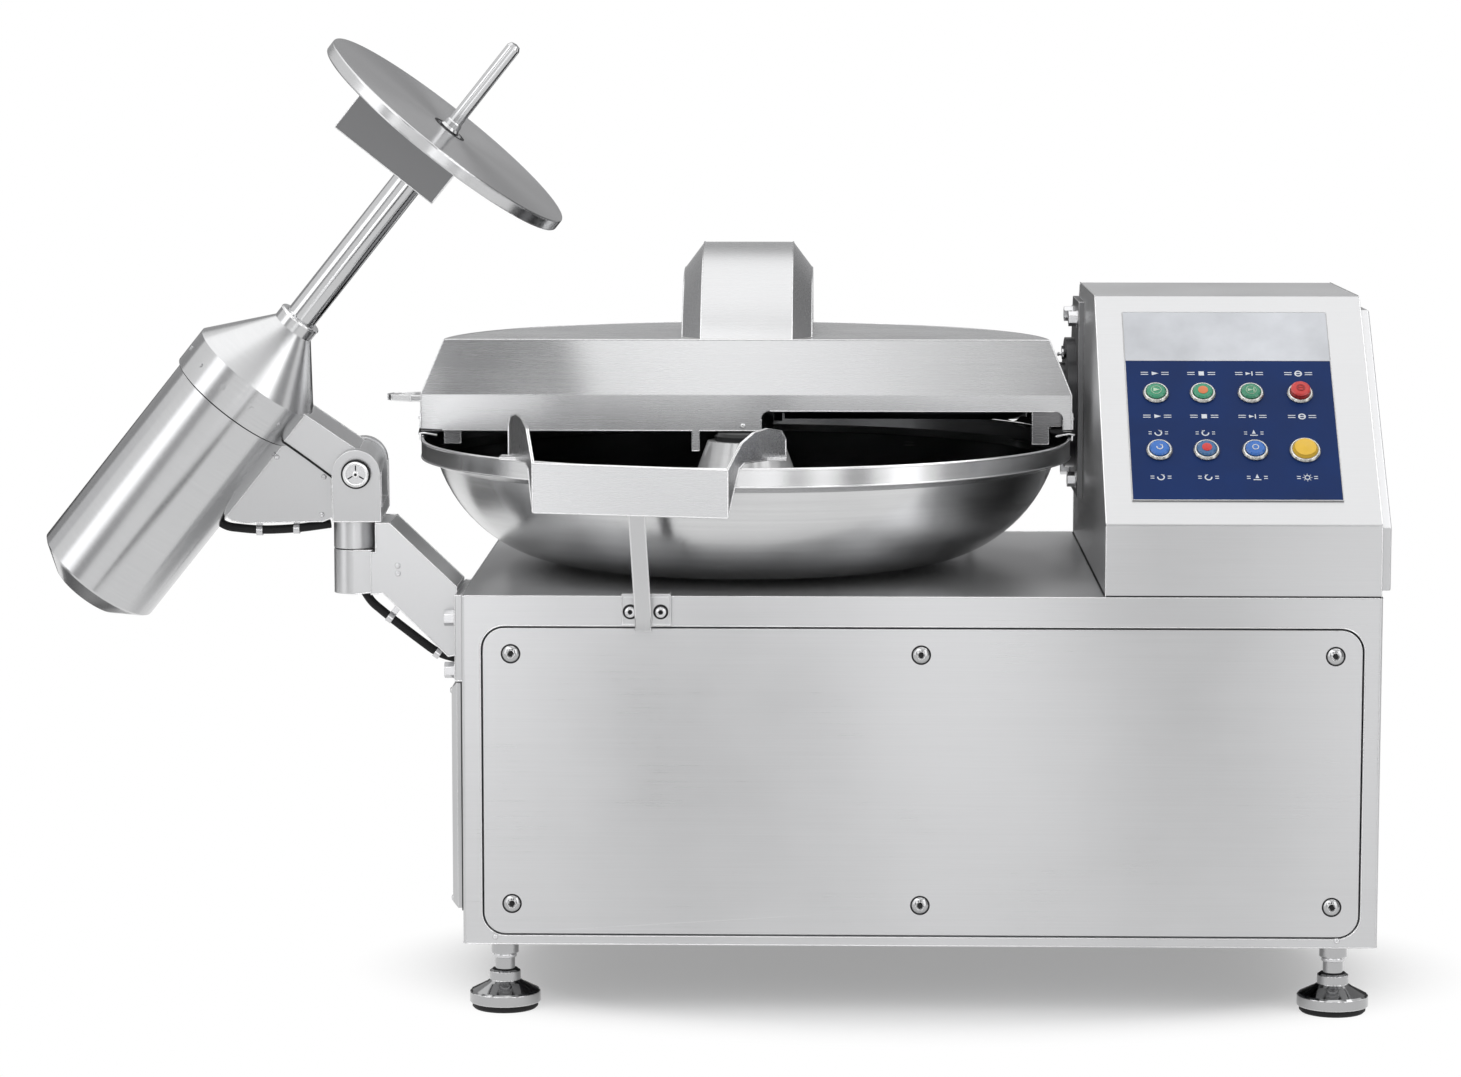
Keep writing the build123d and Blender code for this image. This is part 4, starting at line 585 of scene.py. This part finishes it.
def quill_gap_shade():
    """Dark flap of the lid that closes the gap round the knife quill: painted shade where that gap is seen
    dark.
    """
    low, top, reach, steps, start, stop = RIM + 1.6, COVER_Z0 + 3, 33.0, 24, 26.8, 38.0
    inner, outer = BOWL_R - 1.5, BOWL_R + 1.5
    shape, rings = Shape(), []
    for step in range(steps + 1):
        turn = math.radians(start + (stop - start) * step / steps)
        off = abs(BOWL_Y + BOWL_R * math.sin(turn) - KNIFE_Y)
        high = min(top, KNIFE_Z - math.sqrt(reach ** 2 - off ** 2)) if off < reach else top
        rings.append([Vector((BOWL_X + radius * math.cos(turn), BOWL_Y + radius * math.sin(turn), z))
                      for radius, z in ((inner, low), (outer, low), (outer, high), (inner, high))])
    made = shape.loops(rings)
    shape.mesh.faces.new(list(reversed(made[0])))
    shape.mesh.faces.new(made[-1])
    shape.finish("quill_gap_shade", "rubber_and_painted_shade", "cover", "seal_rubber")


def cover_screws():
    """Small screws on the cabinet's lower edge and on both side covers."""
    screws = Shape()
    for x in (-674.0, 661.0):
        screws.button_head(spot(x, 0, FOOT_H + 11, FACING_FRONT), 4.6, 2.4)
    for y in (75.0, CAB_D - 75.0):
        for z in (190.0, 640.0):
            screws.button_head(spot(HALF_W + 3, y, z, FACING_RIGHT), 8.0, 4.0)
    for y in (74.0, 626.0):
        for z in (FOOT_H + 59, FOOT_H + 396):
            screws.button_head(spot(-HALF_W - 22, y, z, FACING_LEFT), 5.0, 2.6)
    screws.finish("cover_screws", "machined", "machine", "machined_steel")


def panel_screw_socket_shade():
    """Painted shade in the screws' drive sockets, as dark hexagons, and a thin dark ring of painted shade
    round each head, on the front and rear panels.
    """
    sockets = Shape()
    for x in SCREW_XS:
        for z in SCREW_ZS:
            for y, facing in ((0, FACING_FRONT), (CAB_D, FACING_BACK)):
                place = spot(x, y, z, facing)
                # Painted shade: a dark hexagon stands for the shaded socket recess.
                sockets.turned(place, [(0, 7.2), (4.4, 7.2), (4.4, 5.5)], 6)
                # Painted shade: a dark ring round the foot of the head.
                sockets.turned(place, [(13.8, 0.9), (15.2, 0.8), (15.6, 0)], 40)
    sockets.finish("panel_screw_socket_shade", "rubber_and_painted_shade", "machine", "seal_rubber")


def cabinet_seals():
    """Gasket behind the left side cover and the sealing line round the tower's foot."""
    gasket = Shape()
    gasket.bar(spot(0, 0, 0), -HALF_W - 6.5, -HALF_W - 0.2, 57.0, 643.0, FOOT_H + 41.5, FOOT_H + 413.5)
    gasket.finish("side_cover_gasket", "rubber_and_painted_shade", "machine", "seal_rubber")
    seal, proud = Shape(), 0.4
    left, right, front = TOWER_X0 - proud, TOWER_X1 + proud, TOWER_FACE_Y - proud
    for ends in (((left, TOWER_BACK_Y), (left, TOWER_FACE_Y)), ((TOWER_X0, front), (TOWER_X1, front)),
                 ((right, TOWER_FACE_Y), (right, TOWER_BACK_Y))):
        seal.bead([(x, y, DECK + 1.2) for x, y in ends], 1.9)
    seal.finish("tower_sealing_line", "rubber_and_painted_shade", "machine", "seal_rubber")


def foot_trim():
    """Stepped collar under each foot's plate and the shadowed cup round its stem."""
    collars, cups = Shape(), Shape()
    for x in (-HALF_W + 61, HALF_W - 61):
        for y in (70.0, CAB_D - 70.0):
            collars.turned(spot(x, y, 0), [(16, 82), (18.5, 82.6), (19, 84), (19, 88), (18, 90)], 40)
            # Painted shade: a dark ring in the cup round each stem.
            cups.turned(spot(x, y, 0), [(15.9, 64.6), (20.6, 63.2), (20.4, 63.1), (15.9, 63.1)], 40)
    collars.finish("foot_collars", "machined", "machine", "machined_steel")
    cups.finish("foot_cup_painted_shade", "rubber_and_painted_shade", "machine", "foot_rubber")


def flange_lug():
    """Grease nipple on the knife shaft's flange."""
    shape = Shape()
    place = spot(264, KNIFE_Y, KNIFE_Z + 84, FACING_LEFT)
    shape.turned(place, [(0, 14), (3.2, 13.6), (3.6, 11), (2.4, 9), (4, 6), (9, 5.6), (9, 0)], 6)
    shape.finish("flange_grease_nipple", "machined", "machine", "machined_steel")


# ---- control face -----------------------------------------------------------------------------------------
BUTTON_XS, BUTTON_US, BUTTON_TOP, EMERGENCY_TOP = (380.0, 455.0, 532.0, 611.0), (271.0, 151.0), 11.0, 17.0
OVERLAY = (334.0, 664.0, 50.0, 446.0)


def ring_mark(shape, place, inner, outer, low, high, start=0.0, stop=360.0):
    """A flat ring, or the part of one between two angles."""
    steps = max(6, int(abs(stop - start) / 12))
    sides = zip(arc((0, 0), inner, start, stop, steps), arc((0, 0), outer, start, stop, steps))
    corners = [(near, far) for near, far in sides]
    rings = []
    for near, far in corners:
        rings.append([place @ Vector((*spot_xy, z)) for spot_xy, z in
                      ((near, low), (far, low), (far, high), (near, high))])
    made = shape.loops(rings)
    if stop - start < 360:
        shape.mesh.faces.new(made[0])
        shape.mesh.faces.new(list(reversed(made[-1])))


def arrow_head(shape, place, x, y, angle, size, low, high):
    """A small triangle whose point looks along an angle in degrees."""
    points = []
    for turn in (0, 140, 220):
        a = math.radians(angle + turn)
        points.append((x + size * math.cos(a), y + size * math.sin(a)))
    shape.prism(place, points, low, high)


def sign(shape, place, kind, size, low, high):
    """One generic control symbol about the place's origin."""
    if kind == "run":
        arrow_head(shape, place, 0, 0, 0, size, low, high)
    elif kind == "stop":
        shape.bar(place, -0.7 * size, 0.7 * size, -0.7 * size, 0.7 * size, low, high)
    elif kind == "jog":
        arrow_head(shape, place, -0.3 * size, 0, 0, 0.8 * size, low, high)
        shape.bar(place, 0.6 * size, 0.9 * size, -0.75 * size, 0.75 * size, low, high)
    elif kind == "emergency":
        ring_mark(shape, place, 0.62 * size, size, low, high)
        shape.bar(place, -0.62 * size, 0.62 * size, -0.15 * size, 0.15 * size, low, high)
    elif kind in ("forward", "reverse"):
        way = 1 if kind == "forward" else -1
        ring_mark(shape, place, 0.66 * size, size, low, high, 90 - way * 30, 90 - way * 30 - 250 * way)
        end = math.radians(90 - way * 30)
        tip = (0.83 * size * math.cos(end), 0.83 * size * math.sin(end))
        arrow_head(shape, place, *tip, 90 - way * 30 + 90 * way, 0.5 * size, low, high)
    elif kind == "discharge":
        arrow_head(shape, place, 0, 0.35 * size, 90, 0.75 * size, low, high)
        shape.bar(place, -size, size, -0.9 * size, -0.6 * size, low, high)
    else:
        ring_mark(shape, place, 0.5 * size, 0.75 * size, low, high)
        for turn in range(0, 360, 45):
            ray = place @ Matrix.Rotation(math.radians(turn), 4, "Z")
            shape.bar(ray, 0.9 * size, 1.25 * size, -0.09 * size, 0.09 * size, low, high)


def panel_marks():
    """Generic pictograms over and under each button, between short bars, in place of wording."""
    shape = Shape()
    rows = ((("run", "stop", "jog", "emergency"), ((314.0, 12.0), (223.0, 12.0))),
            (("forward", "reverse", "discharge", "lamp"), ((188.0, 5.0), (96.0, 6.0))))
    low, high = 1.9, 2.25
    for kinds, lines in rows:
        for column, kind in enumerate(kinds):
            for u, bar in lines:
                if kind == "lamp" and u > BUTTON_US[1]:
                    continue
                place = PANEL_FACE @ Matrix.Translation((BUTTON_XS[column], u, 0))
                sign(shape, place, kind, 6.2, low, high)
                for side in (-1, 1):
                    near, far = sorted((side * 10.5, side * (10.5 + bar)))
                    shape.bar(place, near, far, 1.4, 3.0, low, high)
                    shape.bar(place, near, far, -3.0, -1.4, low, high)
    shape.finish("panel_pictograms", "print_white", "machine", "panel_pale")


def overlay_border():
    """Thin steel edge round the printed field."""
    x0, x1, u0, u1 = OVERLAY
    shape = Shape()
    for a, b, c, d in ((x0 - 1.5, x1 + 1.5, u1, u1 + 1.5), (x0 - 1.5, x1 + 1.5, u0 - 1.5, u0),
                       (x0 - 1.5, x0, u0, u1), (x1, x1 + 1.5, u0, u1)):
        shape.bar(PANEL_FACE, a, b, c, d, 0, 2.4)
    shape.finish("overlay_border", "sheet", "machine", "tower_steel")


def button_marks():
    """Coloured discs and symbols on the caps; each rides on its own button."""
    plans = (("run", 0, 0, "green_mark", "run", 6.0), ("stop", 1, 0, "orange_mark", "disc", 8.0),
             ("jog", 2, 0, "green_mark", "jog", 6.0), ("emergency", 3, 0, "dark_red", "emergency", 7.0),
             ("forward", 0, 1, "print_white", "forward", 5.5), ("reverse", 1, 1, "red", "disc", 8.0),
             ("discharge", 2, 1, "print_white", "ring", 5.5))
    slots = {"green_mark": "button_green", "orange_mark": "button_red", "dark_red": "button_red",
             "print_white": "panel_pale", "red": "button_red"}
    for key, column, row, look, kind, size in plans:
        top = EMERGENCY_TOP if key == "emergency" else BUTTON_TOP
        place = PANEL_FACE @ Matrix.Translation((BUTTON_XS[column], BUTTON_US[row], top))
        shape = Shape()
        if kind == "disc":
            shape.turned(place, [(0, 1.5), (size - 1, 1.4), (size, 1.0), (size, 0)], 36)
        elif kind == "ring":
            ring_mark(shape, place, 0.72 * size, size, 0.1, 1.2)
        else:
            sign(shape, place, kind, size, 0.1, 1.25)
        if kind in ("run", "jog"):
            ring_mark(shape, place, size + 1.6, size + 2.5, 0.1, 1.0)
        shape.finish(key + "_symbol", look, key + "_key", slots[look])


# ---- discharge arm's trim ---------------------------------------------------------------------------------
def pin_head():
    """Turned face of the tilt pin: raised rim, hub, three dark spokes with a dark centre, and a ring of
    painted shade round the face.
    """
    place = TILTED @ Matrix.Translation((0, -71, 0)) @ FACING_FRONT
    face, spokes = Shape(), Shape()
    face.turned(place, [(15.2, 0), (15.6, 2.4), (18.4, 2.8), (20.6, 2.2), (21.2, 0)], 48)
    face.turned(place, [(0, 2.6), (4.2, 2.6), (5.6, 1.6), (5.8, 0)], 6)
    face.finish("tilt_pin_face", "bright", "yoke", "machined_steel")
    for turn in (90, 210, 330):
        ray = place @ Matrix.Rotation(math.radians(turn), 4, "Z")
        spokes.bar(ray, 6.2, 14.6, -1.0, 1.0, 0, 0.5)
    spokes.turned(place, [(0, 3.0), (2.3, 3.0), (2.3, 2.4)], 18)
    # Painted shade: a dark ring in the groove round the pin's face.
    spokes.turned(place, [(20.9, 0.2), (21.4, 1.0), (23.2, 1.0), (23.6, 0.2)], 48)
    spokes.finish("tilt_pin_spokes", "rubber_and_painted_shade", "yoke", "seal_rubber")


def arm_screws():
    """Small screws on gusset, fixed arm and scraper plate."""
    moving, fixed = Shape(), Shape()
    for x, z in ((-132, 18), (-57, -14), (-62, -76)):
        moving.button_head(TILTED @ Matrix.Translation((x, -20, z)) @ FACING_FRONT, 4.4, 2.4)
    for x, z in ((-100, 72), (-112, 62)):
        moving.button_head(TILTED @ Matrix.Translation((x, -47, z)) @ FACING_FRONT, 3.4, 2.0)
    moving.finish("gusset_screws", "machined", "carrier", "machined_steel")
    for z in (713.0, 700.5):
        fixed.button_head(spot(-833, ARM_Y - 65, z, FACING_FRONT), 4.6, 2.6)
    fixed.finish("fixed_arm_screws", "machined", "machine", "machined_steel")


def arm_seals():
    """Gaskets along the tilting arm's edge and round the barrel's cap ring, and painted shade filling the
    column's slot.
    """
    moving, fixed = Shape(), Shape()
    edge = [TILTED @ Vector(point) for point in ((-128, -48, 56), (-80, -48, 21), (-34, -48, -14))]
    moving.bead(edge, 1.8)
    moving.turned(ALONG_TUBE, [(105, -43.2), (108.4, -43.4), (108.8, -45), (105, -46.4)], 96)
    moving.finish("arm_gaskets", "rubber_and_painted_shade", "carrier", "seal_rubber")
    slot_low, slot_high, slot_half = 668, 728, 4.0
    # Painted shade: a dark block fills the column's slot.
    fixed.bar(spot(ARM_X + 29, ARM_Y - 23.5, 0), -slot_half, slot_half, -2.6, 6.0, slot_low, slot_high)
    fixed.finish("column_slot_shade", "rubber_and_painted_shade", "machine", "seal_rubber")


def arm_welds():
    """Beads where the fixed arm meets its base plate."""
    shape = Shape()
    plate_x, low, high, half_width = -739.5, 572, 668, 65
    for y in (ARM_Y - half_width, ARM_Y + half_width):
        shape.weld((plate_x, y, low), (plate_x, y, high), 2.4)
    shape.finish("arm_bracket_welds", "weld", "machine", "arm_steel")


def disc_trim():
    """Shadowed groove round the disc's recess and two bright collar rings on the tube."""
    groove, collar = Shape(), Shape()
    groove.turned(ALONG_TUBE, [(24.0, 518.0), (24.4, 518.5), (28.6, 518.5), (29.0, 518.0)], 64)
    groove.finish("disc_groove", "rubber_and_painted_shade", "disc", "seal_rubber")
    collar.turned(ALONG_TUBE, [(25.0, 129), (26.4, 131.6), (34.0, 131.8), (35.6, 130), (35.8, 128)], 64)
    collar.turned(ALONG_TUBE, [(25.0, 466), (26.6, 466.4), (26.8, 469), (25.0, 470)], 64)
    collar.finish("tube_collars", "bright", "carrier", "machined_steel")


def clip_ring(inner, outer, half):
    """Closed section of a cable strap, from the cable's surface outwards."""
    return [(inner, -half), (outer, -half), (outer, half), (inner, half), (inner, -half)]


def cable_clips():
    """Steel straps that hold the two cables to gusset and fixed arm."""
    moving, fixed, half_clip = Shape(), Shape(), 5
    for x, z in ((-165, -106), (-105, -103)):
        place = TILTED @ Matrix.Translation((x, 0, z)) @ FACING_RIGHT
        moving.turned(place, clip_ring(7.2, 8.6, half_clip), 28)
        moving.bar(TILTED @ Matrix.Translation((x, 0, z)), -half_clip, half_clip, -1, 1, 8, 17)
    moving.finish("gusset_cable_clips", "machined", "carrier", "machined_steel")
    lean = Matrix.Rotation(math.radians(36), 4, "Y")
    for x, z in ((-852, FOOT_H + 503), (-776, FOOT_H + 445)):
        place = spot(x, ARM_Y, z) @ lean @ FACING_RIGHT
        fixed.turned(place, clip_ring(7.2, 8.8, half_clip), 28)
        fixed.bar(spot(x, ARM_Y, z) @ lean, -half_clip, half_clip, -1, 1, 8, 40)
    fixed.finish("arm_cable_clips", "machined", "machine", "machined_steel")


FOLDED = (("cover_shell", "cover", "cover_steel"), ("knife_hood", "cover", "cover_steel"),
          ("tower_shell", "machine", "tower_steel"), ("cabinet_shell", "machine", "cabinet_steel"),
          ("chute", "machine", "cover_steel"), ("arm_bracket", "machine", "arm_steel"),
          ("arm_carrier", "carrier", "arm_steel"), ("swivel_yoke", "yoke", "arm_steel"),
          ("scraper_plate", "carrier", "arm_steel"))
for folded_node, folded_body, folded_slot in FOLDED:
    fold_lines(folded_node, folded_body, folded_slot)
for make_piece in (hood_weld, cover_trim, bowl_seam, chute_trim, chute_support, quill_gap_shade, cover_screws,
                   panel_screw_socket_shade, cabinet_seals, foot_trim, flange_lug, panel_marks, overlay_border,
                   button_marks, pin_head, arm_screws, arm_seals, arm_welds, disc_trim, cable_clips):
    make_piece()


# ---- camera, floor and light ------------------------------------------------------------------------------
def add_camera():
    camera = bpy.data.cameras.new("camera")
    camera.sensor_width = 36.0
    camera.lens = 103.49
    camera.clip_end = 100.0
    holder = bpy.data.objects.new("camera", camera)
    bpy.context.scene.collection.objects.link(holder)
    holder.location = at(-142.2, -6555.8, 1532.3)
    holder.rotation_euler = (math.pi / 2 - 0.116, 0, 0.024)
    bpy.context.scene.camera = holder


def seen_directly(nodes, links):
    """1 for camera, glossy and transmission rays, 0 for the rays that light the object."""
    path = nodes.new("ShaderNodeLightPath")
    total = path.outputs["Is Camera Ray"]
    for name in ("Is Glossy Ray", "Is Transmission Ray"):
        most = nodes.new("ShaderNodeMath")
        most.operation = "MAXIMUM"
        links.new(total, most.inputs[0])
        links.new(path.outputs[name], most.inputs[1])
        total = most.outputs[0]
    return total


def add_world():
    world = bpy.data.worlds.new("studio")
    bpy.context.scene.world = world
    world.use_nodes = True
    nodes, links = world.node_tree.nodes, world.node_tree.links
    background = nodes["Background"]
    background.inputs["Color"].default_value = (1, 1, 1, 1)
    strength = nodes.new("ShaderNodeMapRange")
    strength.inputs["To Min"].default_value = 0.35
    strength.inputs["To Max"].default_value = 1.0
    links.new(seen_directly(nodes, links), strength.inputs["Value"])
    links.new(strength.outputs[0], background.inputs["Strength"])


def add_floor():
    """White floor that keeps the shadow near the machine and fades to the white background further out."""
    bpy.ops.mesh.primitive_plane_add(size=80, location=(0, 0, 0))
    floor = bpy.context.object
    floor.name = "floor"
    graph = Graph("floor_white")
    nodes, links = graph.nodes, graph.links
    nodes.remove(graph.shader)
    seen = seen_directly(nodes, links)
    matt = graph.node("ShaderNodeBsdfDiffuse", {"Color": (0.75, 0.75, 0.752, 1)})
    glow = graph.node("ShaderNodeEmission", {"Strength": graph.maths("MULTIPLY", seen, 0.32)})
    near = graph.node("ShaderNodeAddShader", {0: matt.outputs[0], 1: glow.outputs[0]})
    white = graph.node("ShaderNodeEmission", {"Strength": graph.maths("MULTIPLY", seen, 1.0)})
    middle, narrower = (-0.335, 0.06, 0.0), (0.62, 1.0, 1.0)
    shifted = graph.node("ShaderNodeVectorMath", {0: graph.place(), 1: middle}, operation="ADD").outputs[0]
    oval = graph.node("ShaderNodeVectorMath", {0: shifted, 1: narrower}, operation="MULTIPLY").outputs[0]
    away = graph.node("ShaderNodeVectorMath", {0: oval}, operation="LENGTH").outputs["Value"]
    fade = graph.node("ShaderNodeMapRange", {"Value": away, "From Min": 0.40, "From Max": 0.60},
                      interpolation_type="SMOOTHSTEP").outputs[0]
    both = graph.node("ShaderNodeMixShader", {0: fade, 1: near.outputs[0], 2: white.outputs[0]})
    links.new(both.outputs[0], nodes["Material Output"].inputs["Surface"])
    floor.data.materials.append(graph.material)


def add_lamp(name, place, target, width, height, power):
    lamp = bpy.data.lights.new(name, "AREA")
    lamp.shape = "RECTANGLE"
    lamp.size, lamp.size_y = width, height
    lamp.energy = power
    holder = bpy.data.objects.new(name, lamp)
    bpy.context.scene.collection.objects.link(holder)
    holder.location = place
    holder.rotation_euler = (Vector(target) - Vector(place)).to_track_quat("-Z", "Y").to_euler()


def add_card(name, place, target, width, height, level):
    """A grey studio card that only reflections see."""
    bpy.ops.mesh.primitive_plane_add(size=1, location=place)
    card = bpy.context.object
    card.name = name
    card.scale = (width, height, 1)
    card.rotation_euler = (Vector(target) - Vector(place)).to_track_quat("Z", "Y").to_euler()
    material = bpy.data.materials.new(name)
    material.use_nodes = True
    nodes, links = material.node_tree.nodes, material.node_tree.links
    nodes.clear()
    glow = nodes.new("ShaderNodeEmission")
    glow.inputs["Color"].default_value = (level, level, level * 1.01, 1)
    out = nodes.new("ShaderNodeOutputMaterial")
    links.new(glow.outputs[0], out.inputs["Surface"])
    card.data.materials.append(material)
    card.visible_camera = False
    card.visible_diffuse = False
    card.visible_shadow = False
    card.visible_transmission = False


def ring_card(name, azimuth, span, low, high, level, away=3.7):
    """A card that stands round the object; azimuth 0 is towards the camera, positive degrees to the right."""
    turn = math.radians(azimuth)
    middle = (low + high) / 2
    place = (away * math.sin(turn), -away * math.cos(turn), middle)
    width = 2 * away * math.tan(math.radians(span / 2))
    add_card(name, place, (0, 0, middle), width, high - low, level)


add_camera()
add_world()
add_floor()
add_lamp("key_light", (-2.8, -3.6, 4.4), (0, 0, 0.7), 6.0, 5.0, 135)
add_lamp("fill_light", (3.4, -3.6, 2.8), (0, 0, 0.7), 4.0, 3.5, 60)
add_lamp("top_light", (0.2, 0.6, 4.8), (0, 0, 0.5), 5.5, 4.5, 46)
for card_name, card_azimuth, card_span, card_low, card_high, card_level in (
        ("card_back_low", 180, 60, 0.0, 0.95, 0.06),
        ("card_back_mid", 180, 60, 0.95, 1.22, 0.28),
        ("card_back_high", 180, 60, 1.22, 4.6, 0.40),
        ("card_back_left_low", -130, 40, 0.0, 1.3, 0.08),
        ("card_back_left_high", -130, 40, 1.3, 2.8, 0.38),
        ("card_back_right_low", 130, 40, 0.0, 1.3, 0.06),
        ("card_back_right_high", 130, 40, 1.3, 4.2, 0.24),
        ("card_side_left", -99, 20, 1.2, 2.3, 0.75),
        ("card_bright_left", -60, 16, 0.3, 3.0, 1.9),
        ("card_left", -43, 10, 0.0, 3.6, 0.45),
        ("card_right", 38, 10, 0.0, 3.6, 0.40),
        ("card_bright_right", 55, 12, 0.0, 2.4, 1.9),
        ("card_side_right", 76, 16, 0.0, 3.0, 0.40)):
    ring_card(card_name, card_azimuth, card_span, card_low, card_high, card_level)
for card_name, card_place, card_target, card_width, card_height, card_level in (
        ("card_low_left", (-0.06, -2.7, 0.19), (-0.06, 0, 0.19), 0.50, 0.38, 0.10),
        ("card_low_middle", (0.50, -2.7, 0.19), (0.50, 0, 0.19), 0.45, 0.38, 1.5),
        ("card_low_right", (1.00, -2.7, 0.19), (1.00, 0, 0.19), 0.24, 0.38, 0.35),
        ("card_low_end", (1.32, -2.7, 0.30), (1.32, 0, 0.30), 0.30, 0.60, 1.6),
        ("card_box_left", (0.82, -2.7, 0.53), (0.82, 0, 0.53), 0.20, 0.28, 0.20),
        ("card_wall", (0.05, -2.7, 0.70), (0.05, 0, 0.70), 1.25, 0.34, 2.1),
        ("card_wall_left", (-0.74, -2.7, 0.70), (-0.74, 0, 0.70), 0.30, 0.34, 3.6),
        ("card_high_grey", (-0.50, -4.05, 3.45), (0, 0, 1.0), 0.45, 1.8, 0.7),
        ("card_low_start", (-0.58, -2.7, 0.19), (-0.58, 0, 0.19), 0.30, 0.38, 1.6),
        ("card_high_left", (-1.32, -4.0, 3.4), (0, 0, 1.0), 1.1, 1.8, 0.05),
        ("card_high_middle", (0.15, -4.2, 3.5), (0, 0, 1.0), 0.6, 1.8, 1.25),
        ("card_high_right", (1.26, -4.0, 3.4), (0, 0, 1.0), 1.1, 1.8, 0.06),
        ("card_high_side", (2.7, -0.3, 3.4), (0.3, 0, 0.7), 1.6, 1.2, 2.6),
        ("card_on_floor", (-0.80, -2.05, 0.02), (-0.80, -2.05, 1.0), 0.50, 0.50, 0.04),
        ("card_far_floor", (-0.30, -3.15, 0.02), (-0.30, -3.15, 1.0), 0.45, 0.55, 0.05),
        ("card_far_left", (-1.7, 0.8, 0.02), (-1.7, 0.8, 1.0), 0.90, 1.2, 0.15)):
    add_card(card_name, card_place, card_target, card_width, card_height, card_level)

bpy.context.scene.view_settings.view_transform = "Standard"
